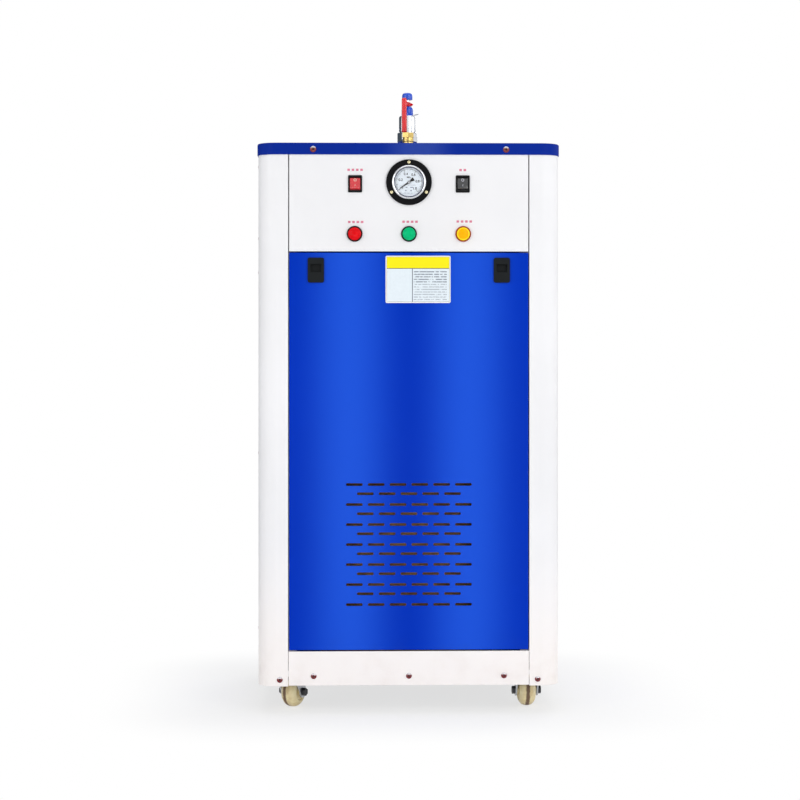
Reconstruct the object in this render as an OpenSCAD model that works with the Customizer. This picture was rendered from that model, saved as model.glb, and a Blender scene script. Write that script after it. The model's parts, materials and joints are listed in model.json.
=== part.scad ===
// Electric steam generator: a sheet metal cabinet on four swivel casters, millimetres.
// The front faces -Y, +X is to the right seen from the front, the floor is Z = 0.

/* [Cabinet] */
// Width over the corner posts
body_w = 562; // [544:1:584]
// Depth over the corner posts
body_d = 476; // [460:1:500]
// Height of the top of the lid above the floor
lid_top = 1060; // [1050:1:1090]
// Height of the lower edge of the posts above the floor
base_clear = 49.5; // [48:0.5:54]
// Thickness of the folded sheet
sheet = 1.5; // [1.2:0.1:1.8]
// Outside radius of the corner posts in plan
corner_r = 36; // [30:1:40]
// Width of a post face from the outer side to the seam
post_face = 56.5; // [51:0.5:59]
// Seam between a post and the panel beside it
post_seam = 2; // [1.5:0.5:4]
// Depth of the folded panel edges
return_d = 20; // [18:0.5:22]
// Width of the stop flange behind a panel edge
stop_w = 16; // [12:1:18]
// Height of the lid skirt
lid_skirt = 22; // [18:1:26]
// Gap between the lid skirt and the posts
lid_gap = 0.5; // [0.4:0.1:0.8]
// Height of the underside of the base plate above the floor
base_z = 90; // [90:1:92]
// Thickness of the base plate
base_t = 2; // [1.5:0.5:3]
// Height of the lower edge of the base flanges above the floor
base_flange_z = 66; // [64:1:70]

/* [Panels] */
// Height of the upper edge of the kick plates
kick_top = 114.5; // [110:0.5:118]
// Height of the kick plates' lower edge above the lower end of the posts
kick_up = 1.5; // [0.5:0.5:3]
// Gap between a kick plate and the posts beside it
kick_gap = 0.8; // [0.5:0.1:2]
// Height of the upper edge of the door and the lower side panels
door_top = 855.5; // [850:0.5:862]
// Seam between stacked panels
row_seam = 2.5; // [2:0.5:3]
// Gap between the upper panels and the lid
top_gap = 1; // [0.5:0.5:2]
// Width of the label plate
label_w = 121; // [100:1:130]
// Height of the label plate
label_h = 88; // [70:1:100]
// Thickness of the label plate
label_t = 1; // [0.8:0.1:1.5]
// Distance of the label plate to the right of the middle
label_x = 17; // [10:1:30]
// Distance from the door top down to the label plate
label_drop = 5.5; // [4:0.5:12]
// Corner radius of the label plate
label_r = 3; // [2:0.5:5]

/* [Vent slots] */
// Length of a slot
slot_l = 31; // [26:1:34]
// Height of a slot
slot_h = 5; // [4.6:0.1:5.5]
// Pitch of the slots in a row
slot_pitch = 40.6; // [38:0.2:44]
// Height of the top row
slot_top_z = 424.4; // [415:0.2:440]
// Pitch of the long rows
slot_row_pitch = 37.2; // [36:0.2:38]
// Drop from a long row to the short row below it
slot_row_drop = 17.1; // [16:0.1:20]
// Slots in a long row
slot_columns = 6; // [5:1:7]
// Number of long rows
slot_rows = 7; // [5:1:8]

/* [Gauge] */
// Height of the gauge centre
gauge_z = 986.5; // [980:0.5:992]
// Outside diameter of the mounting flange
flange_d = 85; // [80:1:90]
// Thickness of the mounting flange
flange_t = 4; // [3:0.5:5]
// Outside diameter of the bezel
bezel_d = 64; // [63:0.5:66]
// Distance the bezel stands out from the panel
bezel_out = 11; // [10:0.5:12]
// Outside diameter of the gauge case
case_d = 61; // [60:0.5:62]
// Depth of the gauge case behind the panel
case_depth = 30; // [25:1:40]
// Diameter of the dial opening
dial_d = 55; // [52:0.5:56]
// Depth from the bezel rim to the dial opening floor
dial_depth = 9; // [8.5:0.5:10]
// Thickness of the dial disc
dial_t = 1; // [0.8:0.1:1.2]
// Thickness of the gauge glass
glass_t = 1.5; // [1:0.1:2]
// Depth of the glass behind the bezel rim
glass_in = 1; // [0.8:0.1:1.2]
// Length of the pointer from its pivot to the tip
pointer_l = 21; // [17:0.5:22]
// Length of the pointer tail
pointer_tail = 10.5; // [7:0.5:11]
// Thickness of the pointer
pointer_t = 0.8; // [0.6:0.1:1]
// Diameter of the pointer hub
pointer_hub = 5; // [4.5:0.5:8]
// Diameter of the pointer pin
pointer_pin = 2; // [1.6:0.1:2.4]
// Direction of the pointer at rest, from the right, turning upward
pointer_rest = 215; // [210:1:225]

/* [Switches] */
// Distance of a switch to each side of the middle, as a share of the panel width
switch_share = 0.225; // [0.21:0.001:0.245]
// Height of the switch centres
switch_z = 983.5; // [975:0.5:992]
// Width of a switch frame
frame_w = 26; // [25:0.5:28]
// Height of a switch frame
frame_h = 32; // [31:0.5:34]
// Distance the switch frame stands out from the panel
frame_out = 2.4; // [2:0.1:3]
// Corner radius of the switch frame
frame_r = 2; // [1.5:0.1:3]
// Width of a rocker
rocker_w = 19; // [18:0.1:19.5]
// Height of a rocker
rocker_h = 23.4; // [22:0.2:24]
// Wall of the switch housing behind the panel
housing_wall = 1.5; // [1.3:0.1:1.7]
// Depth of the switch housing behind the panel
housing_depth = 16; // [15:0.5:20]
// Depth of the rocker pivot behind the panel face
rocker_pivot = 3.5; // [3:0.1:4]
// Angle between the two faces of a rocker
rocker_angle = 22; // [18:1:24]
// Diameter of the rocker trunnions
trunnion_d = 3; // [2.4:0.1:3.4]

/* [Lamps] */
// Distance of the outer lamps to each side of the middle, as a share of the panel width
lamp_share = 0.227; // [0.21:0.001:0.245]
// Height of the lamp centres
lamp_z = 890.5; // [885:0.5:898]
// Outside diameter of a lamp bezel
lamp_d = 29.4; // [28:0.2:31]
// Distance a lamp bezel stands out from the panel
lamp_out = 4.5; // [4:0.1:6]
// Diameter of a lamp lens
lens_d = 24; // [22:0.2:25]
// Distance a lamp lens stands out from the panel
lens_out = 12; // [11:0.5:13]
// Depth of the seat of a lens behind the bezel rim
lens_seat = 2.5; // [2:0.1:3]
// Diameter of a lamp body behind the panel
lamp_body_d = 22; // [20:0.5:22.5]
// Depth of a lamp body behind the panel
lamp_depth = 30; // [25:1:40]

/* [Latches] */
// Distance of a latch from the side edge of the door
latch_edge = 49.5; // [44.5:0.5:57.5]
// Height of the latch centres
latch_z = 823; // [815:1:828]
// Width of a latch
latch_w = 30.5; // [29:0.5:32]
// Height of a latch
latch_h = 46.5; // [44:0.5:50]
// Distance a latch stands out from the door
latch_out = 3; // [2.5:0.1:3.5]
// Corner radius of a latch
latch_r = 4; // [3:0.5:5]
// Width of the finger opening
finger_w = 20; // [19:0.5:20.5]
// Height of the finger opening
finger_h = 14.5; // [13:0.5:16]
// Rise of the finger opening above the latch centre
finger_up = 4; // [3.5:0.1:4.5]
// Width of the latch slide
slide_w = 22; // [21.5:0.1:22.5]
// Height of the latch slide
slide_h = 24; // [23:0.5:24.5]
// Travel of the latch slide
slide_travel = 5; // [4:0.5:5]
// Depth of the latch housing behind the door face
latch_depth = 12; // [11:0.5:14]
// Depth of the finger hollow in the slide
finger_depth = 7; // [6:0.5:7.5]

/* [Safety valve] */
// Distance of the valve axis to the right of the middle
valve_x = 0; // [-3:0.5:3]
// Distance of the valve axis in front of the middle, as a share of the cabinet depth
valve_share = 0.269; // [0.25:0.001:0.28]
// Height of the round neck on the lid
neck_h = 10; // [8:0.5:12]
// Diameter of the round neck
neck_d = 30; // [28:0.5:32]
// Height of the hexagon
valve_hex_h = 19.5; // [18:0.5:22]
// Width of the hexagon across its corners
valve_hex_d = 39; // [37:0.5:41]
// Diameter of the valve barrel
barrel_d = 32; // [30:0.5:33]
// Height of the valve barrel
barrel_h = 32; // [30:0.5:34]
// Diameter of the bonnet
bonnet_d = 22; // [20:0.5:23]
// Height of the bonnet
bonnet_h = 18.5; // [17.5:0.5:20]
// Diameter of the spindle
spindle_d = 7; // [6:0.5:8]
// Diameter of the cap
cap_d = 20; // [19:0.5:21]
// Height of the cap
cap_h = 13.5; // [12:0.5:15]
// Gap between the bonnet and the cap
cap_gap = 12; // [12:0.5:13]
// Width of the hanging lever strip
lever_w = 9.5; // [9:0.5:10]
// Thickness of the hanging lever strip
lever_t = 6; // [5:0.1:6.4]
// Distance of the strip in front of the valve axis
lever_front = 25.5; // [24:0.5:26]
// Length of the strip below the pivot pin
lever_drop = 56.5; // [50:0.5:57]
// Length of the strip above the pivot pin
lever_rise = 9.5; // [8:0.5:11]
// Height of the lever cheeks
cheek_h = 5; // [4.5:0.1:5.2]
// Thickness of a lever cheek
cheek_t = 2.4; // [2:0.1:2.6]
// Inside distance of a cheek from the lever middle
cheek_in = 4.6; // [4.5:0.1:5]
// Diameter of the lever pin
lever_pin = 3; // [2.6:0.1:3.2]
// Height of the lever pin above the bonnet
pin_up = 4; // [3.8:0.1:4.2]
// Distance of the lever pin behind the valve axis
pin_back = 8; // [7.5:0.1:8.5]
// Turn of the lever to the left of straight forward
lever_turn = 15; // [10:1:18]

/* [Fittings] */
// Distance of the steam outlet in front of the valve axis
outlet_front = 45; // [43:1:48]
// Diameter of the steam outlet collar
outlet_d = 20; // [19:0.5:21]
// Height of the steam outlet collar
outlet_collar_h = 16; // [15:0.5:18]
// Width of the steam outlet hexagon across its corners
outlet_hex_d = 24; // [22:0.5:24]
// Height of the steam outlet hexagon
outlet_hex_h = 9; // [8:0.5:10]
// Diameter of the steam outlet tail below the lid
outlet_tail_d = 16; // [15:0.5:17]
// Length of the steam outlet tail below the lid
outlet_tail = 25; // [20:1:30]
// Diameter of the steam outlet bore
outlet_bore = 10; // [9:0.5:11]
// Distance the back fittings stand out from the back
fitting_out = 22; // [20:0.5:24]
// Thread diameter of the water fittings
pipe_d = 20.8; // [20:0.1:21]
// Bore of the water fittings
pipe_bore = 15; // [13:0.5:15.5]
// Width of the fitting hexagons across their corners
fitting_hex_d = 31; // [30:0.5:33]
// Thickness of the fitting hexagons
fitting_hex_t = 7; // [6:0.5:8]
// Thickness of the lock nuts
lock_nut_t = 5; // [4:0.5:6]
// Length of the fitting tails behind the panel
fitting_tail = 14; // [13:0.5:18]
// Distance of the water fittings to each side of the middle, as a share of the panel width
fitting_share = 0.27; // [0.25:0.001:0.29]
// Height of the water fittings
fitting_z = 160; // [155:1:165]
// Distance of the cable gland from the side edge of the back panel
gland_edge = 62.5; // [47.5:0.5:72.5]
// Height of the cable gland
gland_z = 500; // [470:5:560]
// Diameter of the cable gland nut
gland_d = 26; // [25:0.5:27]
// Bore of the cable gland
gland_bore = 16; // [14:0.5:17]

/* [Vessel] */
// Width and depth of the wrapped steam vessel
vessel_w = 330; // [300:5:350]
// Corner radius of the wrapped steam vessel
vessel_r = 70; // [50:5:90]
// Height of the top of the vessel above the floor
vessel_top = 800; // [760:5:830]
// Diameter of the riser from the vessel to the valve
riser_d = 18; // [17:0.5:19]

/* [Casters] */
// Distance of a swivel axis from the sides, the front and the back of the cabinet
caster_inset = 55; // [54:1:62]
// Distance of the wheel axle behind the swivel axis
trail = 20; // [18:0.5:21]
// Diameter of a wheel
wheel_d = 58; // [56:0.5:64]
// Width of a wheel tread
wheel_w = 32; // [30:0.5:33]
// Length of a wheel hub
hub_l = 36; // [35.5:0.1:36.4]
// Diameter of an axle
axle_d = 8; // [7:0.5:9]
// Inside width of a fork
fork_in = 37; // [36.8:0.1:38]
// Thickness of a fork cheek
fork_t = 3; // [2.5:0.1:3.5]
// Radius of the fork end around the axle
fork_end_r = 11; // [10:0.5:12]
// Diameter of the fork crown
crown_d = 46; // [45:0.5:48]
// Height of the crown underside above the floor
crown_z = 74; // [73:0.5:75]
// Thickness of the fork crown
crown_t = 4; // [3.5:0.5:5]
// Diameter of the swivel pin
swivel_pin_d = 12; // [10:0.5:13]
// Length of the swivel pin above the crown
swivel_pin_l = 8; // [7:0.5:8]
// Diameter of the swivel race
race_d = 44; // [42:0.5:46]
// Width of a caster plate
plate_w = 64; // [60:1:66]
// Depth of a caster plate
plate_d = 84; // [78:1:86]
// Thickness of a caster plate
plate_t = 3; // [2.5:0.5:3.5]
// Width of an axle nut across its corners
nut_d = 15; // [14:0.5:16]
// Thickness of an axle nut
nut_t = 6; // [5:0.5:7]
// Turn of the front left caster
turn_front_left = -28; // [-40:1:40]
// Turn of the front right caster
turn_front_right = 3; // [-40:1:40]
// Turn of the rear left caster
turn_rear_left = -14; // [-40:1:40]
// Turn of the rear right caster
turn_rear_right = 9; // [-40:1:40]

/* [Hidden] */
$fn = 64;
// Gap between curved faces of neighbouring pieces
seat_gap = 0.3;
// Radial clearance of a turning pin in its hole
running_gap = 0.05;
// Extra length of a cutting solid
cut = 1;
// Overall distance in front of and behind the posts, which centres the whole on Y = 0
mid_y = (lens_out - fitting_out) / 2;
lid_under = lid_top - sheet;
door_z = kick_top + row_seam;
upper_z = door_top + row_seam;
upper_top = lid_under - top_gap;
front_w = body_w - 2 * post_face - 2 * post_seam;
side_w = body_d - 2 * post_face - 2 * post_seam;
lid_edge = sheet + lid_gap;
switch_x = front_w * switch_share;
lamp_x = front_w * lamp_share;
latch_x = front_w / 2 - latch_edge;
fitting_x = front_w * fitting_share;
gland_x = front_w / 2 - gland_edge;
caster_x = body_w / 2 - caster_inset;
caster_y = body_d / 2 - caster_inset;
base_inset = sheet + seat_gap;
base_top = base_z + base_t;
bezel_r = bezel_d / 2;
case_r = case_d / 2;
dial_r = dial_d / 2;
dial_floor = bezel_out - dial_depth;
dial_face = dial_floor + dial_t;
glass_back = bezel_out - glass_in - glass_t;
pointer_back = (dial_face + glass_back - pointer_t) / 2;
pin_front = pointer_back + pointer_t;
flange_screw_r = (flange_d + bezel_d) / 4;
flange_hole_r = 1.8;
flange_screw_turns = [90, 210, 330];
pointer_shares = [[1, 0.03], [0, 0.075], [0, -0.075], [1, -0.03]];
tail_shares = [[0, 0.07], [1, 0.34], [1, -0.34], [0, -0.07]];
cavity_w = rocker_w + 2 * seat_gap;
cavity_h = rocker_h + 2 * seat_gap;
housing_w = cavity_w + 2 * housing_wall;
housing_h = cavity_h + 2 * housing_wall;
rocker_r = rocker_h / 2;
rocker_back = rocker_r * 0.42;
rocker_face = rocker_pivot + frame_out + seat_gap;
trunnion_l = housing_wall * 0.8 + seat_gap;
lens_r = lens_d / 2;
lens_floor = lamp_out - lens_seat;
lens_rise = (lens_out - lens_floor) * 0.5;
lens_cap = lens_out - lens_floor - lens_rise;
lens_ball = (lens_r * lens_r + lens_cap * lens_cap) / (2 * lens_cap);
latch_face_t = latch_out * 0.5;
latch_wall = latch_depth * 0.15;
slot_cavity_h = slide_h + slide_travel + 2 * seat_gap;
slot_cavity_w = slide_w + 2 * seat_gap;
latch_body_w = slot_cavity_w + 2 * latch_wall;
latch_body_h = slot_cavity_h + 2 * latch_wall;
latch_body_up = finger_up - slide_travel / 2;
slide_front = latch_out - latch_face_t - seat_gap;
slide_back = latch_depth - latch_wall - seat_gap;
valve_y = -body_d * valve_share;
hex_z = lid_top + neck_h;
barrel_z = hex_z + valve_hex_h;
bonnet_z = barrel_z + barrel_h;
bonnet_top = bonnet_z + bonnet_h;
cap_z = bonnet_top + cap_gap;
pin_z = bonnet_top + pin_up;
spindle_bed = bonnet_h * 0.5;
spindle_head = cap_h * 0.3;
lug_w = cheek_in - seat_gap;
lug_l = lever_pin * 2;
cheek_back = pin_back + lever_pin;
pin_l = cheek_in + cheek_t * 2;
outlet_y = valve_y - outlet_front;
outlet_turn = 30;
outlet_top = lid_top + outlet_collar_h + outlet_hex_h;
riser_top = lid_top + neck_h * 0.8;
axle_z = wheel_d / 2;
axle_r = axle_d / 2;
bore_r = axle_r + running_gap;
cheek_x = fork_in / 2;
race_z = crown_z + crown_t + seat_gap;
race_h = base_z - plate_t - race_z;
race_bore_r = swivel_pin_d / 2 + running_gap;
crown_end = crown_z + crown_t;
fork_root = crown_d * 0.4;
rim_shares = [
  [0.30, 0.94], [0.54, 0.86], [0.60, 1.00], [0.70, 0.93], [0.80, 0.82],
  [0.88, 0.69], [0.94, 0.54], [0.98, 0.33], [1, 0.08]
];

blue = [0.05, 0.20, 0.70];
navy = [0.06, 0.14, 0.50];
white = [0.94, 0.94, 0.94];
black = [0.10, 0.10, 0.11];
steel = [0.75, 0.76, 0.78];
brass = [0.80, 0.65, 0.30];
red = [0.80, 0.12, 0.14];
green = [0.10, 0.70, 0.42];
amber = [0.95, 0.65, 0.10];
cream = [0.82, 0.76, 0.58];
brown = [0.30, 0.20, 0.10];

// The cabinet stands with its middle at mid_y
module cabinet() {
  translate([0, mid_y, 0]) children();
}

// A side of the cabinet: outside faces -Y, the face of the posts is Y = 0
module front_side() {
  cabinet() translate([0, -body_d / 2, 0]) children();
}
module back_side() {
  cabinet() translate([0, body_d / 2, 0]) rotate([0, 0, 180]) children();
}
module left_side() {
  cabinet() translate([-body_w / 2, 0, 0]) rotate([0, 0, -90]) children();
}
module right_side() {
  cabinet() translate([body_w / 2, 0, 0]) rotate([0, 0, 90]) children();
}

// A rounded rectangle in the plane
module round_rect(w, d, r) {
  square([w - 2 * r, d], center = true);
  square([w, d - 2 * r], center = true);
  for (sx = [-1, 1]) {
    for (sy = [-1, 1]) {
      translate([sx * (w / 2 - r), sy * (d / 2 - r)]) circle(r);
    }
  }
}

// A solid of revolution or plate seen from the front, from y_out in front to y_in behind a face
module forward(x, z, y_out, y_in) {
  translate([x, y_in, z]) rotate([90, 0, 0]) linear_extrude(y_out + y_in) children();
}

// A panel folded back along its four edges
module tray(w, low, high) {
  difference() {
    translate([-w / 2, 0, low]) cube([w, return_d, high - low]);
    translate([-w / 2 + sheet, sheet, low + sheet])
      cube([w - 2 * sheet, return_d, high - low - 2 * sheet]);
  }
}

// The staggered ventilation slots in the plane
module slot_field() {
  for (row = [0 : slot_rows - 1]) {
    for (i = [0 : slot_columns - 1]) {
      translate([(i - (slot_columns - 1) / 2) * slot_pitch, slot_top_z - row * slot_row_pitch])
        round_rect(slot_l, slot_h, slot_h / 2 - seat_gap / 2);
    }
  }
  for (row = [0 : slot_rows - 2]) {
    for (i = [0 : slot_columns - 2]) {
      translate([(i - (slot_columns - 2) / 2) * slot_pitch,
        slot_top_z - slot_row_drop - row * slot_row_pitch])
        round_rect(slot_l, slot_h, slot_h / 2 - seat_gap / 2);
    }
  }
}

module base_pan() {
  color(steel) cabinet() {
    translate([0, 0, base_z]) linear_extrude(base_t)
      round_rect(body_w - 2 * base_inset, body_d - 2 * base_inset, corner_r - base_inset);
    for (side = [-1, 1]) {
      translate([-front_w / 2, side * (body_d / 2 - base_inset - base_t / 2) - base_t / 2, base_flange_z])
        cube([front_w, base_t, base_z - base_flange_z + base_t]);
      translate([side * (body_w / 2 - base_inset - base_t / 2) - base_t / 2, -side_w / 2, base_flange_z])
        cube([base_t, side_w, base_z - base_flange_z + base_t]);
    }
  }
}

// Plan of the visible skin of a post, with the cabinet corner at the origin
module post_skin() {
  translate([corner_r, 0]) square([post_face - corner_r, sheet]);
  translate([0, corner_r]) square([sheet, post_face - corner_r]);
  translate([corner_r, corner_r]) intersection() {
    difference() {
      circle(corner_r);
      circle(corner_r - sheet);
    }
    translate([-corner_r, -corner_r]) square(corner_r);
  }
}

// Plan of the jamb folded back along one edge of a post
module post_jamb() {
  translate([post_face - sheet, 0]) square([sheet, return_d]);
}

// Plan of the flange behind a jamb, which stops the panel
module stop_flange() {
  translate([post_face - sheet, return_d]) square([stop_w + sheet, sheet]);
}

module post() {
  translate([0, 0, base_clear]) linear_extrude(lid_under - base_clear) post_skin();
  translate([0, 0, base_top]) linear_extrude(lid_under - base_top) {
    post_jamb();
    mirror([1, -1, 0]) post_jamb();
  }
}

// The two corners of the front, each with its outer corner at the origin of what it carries
module front_corners() {
  for (side = [0, 1]) {
    mirror([side, 0, 0]) translate([-body_w / 2, -body_d / 2, 0]) children();
  }
}

module front_posts() {
  color(white) cabinet() front_corners() post();
}

module rear_posts() {
  color(white) cabinet() mirror([0, 1, 0]) front_corners() post();
}

module corner_stops() {
  translate([0, 0, base_top]) linear_extrude(lid_under - base_top) stop_flange();
  translate([0, 0, base_top]) linear_extrude(lid_under - base_top)
    mirror([1, -1, 0]) stop_flange();
}

module stop_flanges() {
  color(white) cabinet() {
    front_corners() corner_stops();
    mirror([0, 1, 0]) front_corners() corner_stops();
  }
}

// A kick plate between two posts, for a panel of this width above it
module kick_plate(panel_w) {
  w = panel_w + 2 * (post_seam - kick_gap);
  low = base_clear + kick_up;
  translate([-w / 2, 0, low]) cube([w, sheet, kick_top - low]);
}

module kick_plates() {
  color(white) {
    front_side() kick_plate(front_w);
    back_side() kick_plate(front_w);
    left_side() kick_plate(side_w);
    right_side() kick_plate(side_w);
  }
}

module upper_back_panel() {
  color(white) back_side() tray(front_w, upper_z, upper_top);
}

module upper_side_panels() {
  color(white) {
    left_side() tray(side_w, upper_z, upper_top);
    right_side() tray(side_w, upper_z, upper_top);
  }
}

module left_panel() {
  color(blue) left_side() tray(side_w, door_z, door_top);
}

module right_panel() {
  color(blue) right_side() tray(side_w, door_z, door_top);
}

module back_panel() {
  color(blue) back_side() difference() {
    tray(front_w, door_z, door_top);
    forward(0, 0, cut, sheet + cut) slot_field();
    for (side = [-1, 1]) {
      forward(side * fitting_x, fitting_z, cut, sheet + cut) circle(pipe_d / 2 + seat_gap);
    }
    forward(gland_x, gland_z, cut, sheet + cut) circle(pipe_d / 2 + seat_gap);
  }
}

module top_lid() {
  color(navy) cabinet() difference() {
    translate([0, 0, lid_top - lid_skirt]) linear_extrude(lid_skirt)
      round_rect(body_w + 2 * lid_edge, body_d + 2 * lid_edge, corner_r + lid_edge);
    translate([0, 0, lid_top - lid_skirt - cut]) linear_extrude(lid_skirt - sheet + cut)
      round_rect(body_w + 2 * lid_gap, body_d + 2 * lid_gap, corner_r + lid_gap);
    translate([valve_x, valve_y, lid_under - cut])
      cylinder(h = sheet + 2 * cut, d = riser_d + 2 * seat_gap);
    translate([0, outlet_y, lid_under - cut])
      cylinder(h = sheet + 2 * cut, d = outlet_tail_d + 2 * seat_gap);
  }
}

module instrument_panel() {
  color(white) front_side() difference() {
    tray(front_w, upper_z, upper_top);
    forward(0, gauge_z, cut, sheet + cut) circle(case_r + seat_gap);
    for (side = [-1, 1]) {
      forward(side * switch_x, switch_z, cut, sheet + cut)
        square([housing_w + 2 * seat_gap, housing_h + 2 * seat_gap], center = true);
    }
    for (i = [-1 : 1]) {
      forward(i * lamp_x, lamp_z, cut, sheet + cut) circle(lamp_body_d / 2 + seat_gap);
    }
  }
}

module front_door() {
  color(blue) front_side() difference() {
    tray(front_w, door_z, door_top);
    forward(0, 0, cut, sheet + cut) slot_field();
    for (side = [-1, 1]) {
      forward(side * latch_x, latch_z + latch_body_up, cut, sheet + cut)
        square([latch_body_w + 2 * seat_gap, latch_body_h + 2 * seat_gap], center = true);
    }
  }
}

module label_plate() {
  color(steel) front_side()
    forward(label_x, door_top - label_drop - label_h / 2, label_t, 0)
      round_rect(label_w, label_h, label_r);
}

module latch_housing(side) {
  difference() {
    union() {
      forward(side * latch_x, latch_z, latch_out, 0) round_rect(latch_w, latch_h, latch_r);
      forward(side * latch_x, latch_z + latch_body_up, 0, latch_depth)
        square([latch_body_w, latch_body_h], center = true);
    }
    forward(side * latch_x, latch_z + finger_up, latch_out + cut, 0)
      square([finger_w, finger_h], center = true);
    forward(side * latch_x, latch_z + latch_body_up, latch_out - latch_face_t, latch_depth - latch_wall)
      square([slot_cavity_w, slot_cavity_h], center = true);
  }
}

module latch_housings() {
  color(black) front_side() {
    latch_housing(-1);
    latch_housing(1);
  }
}

module latch_slide(side) {
  difference() {
    forward(side * latch_x, latch_z + finger_up, slide_front, slide_back)
      square([slide_w, slide_h], center = true);
    forward(side * latch_x, latch_z + finger_up, slide_front + cut, finger_depth - slide_front)
      square([finger_w - 2 * seat_gap, finger_h - 2 * seat_gap], center = true);
  }
}

module left_latch_slide() {
  color(black) front_side() latch_slide(-1);
}

module right_latch_slide() {
  color(black) front_side() latch_slide(1);
}

module gauge_flange() {
  color(black) front_side() forward(0, gauge_z, flange_t, 0) difference() {
    circle(flange_d / 2);
    circle(case_r + seat_gap);
    for (turn = flange_screw_turns) {
      rotate(turn) translate([flange_screw_r, 0]) circle(flange_hole_r);
    }
  }
}

module gauge_case() {
  color(steel) front_side() {
    difference() {
      union() {
        forward(0, gauge_z, bezel_out, -flange_t) circle(bezel_r);
        forward(0, gauge_z, flange_t, case_depth) circle(case_r);
      }
      forward(0, gauge_z, bezel_out + cut, -dial_floor) circle(dial_r);
    }
    forward(0, gauge_z, pin_front, -dial_floor) circle(d = pointer_pin);
  }
}

module gauge_dial() {
  color(white) front_side() forward(0, gauge_z, dial_face, -dial_floor) difference() {
    circle(dial_r - seat_gap);
    circle(pointer_pin / 2 + seat_gap);
  }
}

module gauge_pointer() {
  color(black) front_side() forward(0, gauge_z, pointer_back + pointer_t, -pointer_back)
    rotate(pointer_rest) difference() {
      union() {
        circle(d = pointer_hub);
        polygon([for (s = pointer_shares) s * pointer_l]);
        polygon([for (s = tail_shares) [-s[0] * pointer_tail, s[1] * pointer_tail]]);
      }
      circle(pointer_pin / 2 + running_gap);
    }
}

module gauge_glass() {
  color(steel) front_side() forward(0, gauge_z, glass_back + glass_t, -glass_back)
    circle(dial_r - seat_gap);
}

module switch_frame(side) {
  translate([side * switch_x, 0, switch_z]) difference() {
    union() {
      forward(0, 0, frame_out, 0) round_rect(frame_w, frame_h, frame_r);
      forward(0, 0, 0, housing_depth) square([housing_w, housing_h], center = true);
    }
    forward(0, 0, frame_out + cut, housing_depth - housing_wall)
      square([cavity_w, cavity_h], center = true);
    translate([-housing_w / 2, rocker_pivot, 0]) rotate([0, 90, 0])
      cylinder(h = housing_w, d = trunnion_d + 2 * running_gap);
  }
}

module switch_frames() {
  color(black) front_side() {
    switch_frame(-1);
    switch_frame(1);
  }
}

// A rocker around its pivot: a drum with two flat faces, pressed in at the top
module rocker(side) {
  translate([side * switch_x, rocker_pivot, switch_z]) {
    rotate([0, 90, 0]) intersection() {
      translate([0, 0, -rocker_w / 2]) cylinder(h = rocker_w, r = rocker_r);
      translate([0, 0, -rocker_w / 2]) linear_extrude(rocker_w) union() {
        translate([-rocker_h, -rocker_face]) square([rocker_h, rocker_face + rocker_back]);
        translate([0, -rocker_face]) rotate(-rocker_angle) translate([-rocker_h, 0])
          square([2 * rocker_h, rocker_face]);
        translate([-rocker_h, 0]) square([2 * rocker_h, rocker_back]);
      }
    }
    translate([-rocker_w / 2 - trunnion_l, 0, 0]) rotate([0, 90, 0])
      cylinder(h = rocker_w + 2 * trunnion_l, d = trunnion_d);
  }
}

module left_rocker() {
  color(red) front_side() rocker(-1);
}

module right_rocker() {
  color(black) front_side() rocker(1);
}

module lamp_bezel(i) {
  forward(i * lamp_x, lamp_z, lamp_out, 0) difference() {
    circle(d = lamp_d);
    circle(lens_r + seat_gap);
  }
  forward(i * lamp_x, lamp_z, lens_floor, 0) circle(d = lamp_d);
  forward(i * lamp_x, lamp_z, lens_floor, lamp_depth) circle(d = lamp_body_d);
}

module lamp_bezels() {
  color(black) front_side() {
    lamp_bezel(-1);
    lamp_bezel(0);
  }
}

module amber_lamp_bezel() {
  color(amber) front_side() lamp_bezel(1);
}

module lens(i) {
  forward(i * lamp_x, lamp_z, lens_floor + lens_rise, -lens_floor) circle(lens_r);
  translate([i * lamp_x, -lens_out + lens_ball, lamp_z]) intersection() {
    sphere(lens_ball);
    rotate([90, 0, 0]) translate([0, 0, lens_ball - lens_cap])
      cylinder(h = lens_ball, r = lens_ball);
  }
}

module red_lens() {
  color(red) front_side() lens(-1);
}

module green_lens() {
  color(green) front_side() lens(0);
}

module amber_lens() {
  color(amber) front_side() lens(1);
}

// The place of the safety valve on the lid
module valve_place() {
  cabinet() translate([valve_x, valve_y, 0]) children();
}

module valve_body() {
  color(steel) valve_place() difference() {
    union() {
      translate([0, 0, lid_top]) cylinder(h = neck_h, d = neck_d);
      translate([0, 0, hex_z]) cylinder(h = valve_hex_h, d = valve_hex_d, $fn = 6);
      translate([0, 0, barrel_z]) cylinder(h = barrel_h, d = barrel_d);
    }
    translate([0, 0, lid_top - cut])
      cylinder(h = riser_top - lid_top + cut, d = riser_d + 2 * seat_gap);
  }
}

module valve_bonnet() {
  color(blue) valve_place() difference() {
    union() {
      translate([0, 0, bonnet_z]) cylinder(h = bonnet_h, d = bonnet_d);
      rotate([0, 0, -lever_turn]) translate([-lug_w, pin_back - lug_l / 2, bonnet_top - cut])
        cube([2 * lug_w, lug_l, pin_up + lug_l / 2 + cut]);
    }
    translate([0, 0, bonnet_top - spindle_bed]) cylinder(h = spindle_bed + cut, d = spindle_d);
    rotate([0, 0, -lever_turn]) translate([-bonnet_d / 2, pin_back, pin_z]) rotate([0, 90, 0])
      cylinder(h = bonnet_d, d = lever_pin + 2 * running_gap);
  }
}

module valve_spindle() {
  color(steel) valve_place() translate([0, 0, bonnet_top - spindle_bed])
    cylinder(h = spindle_bed + cap_gap + spindle_head, d = spindle_d);
}

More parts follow.
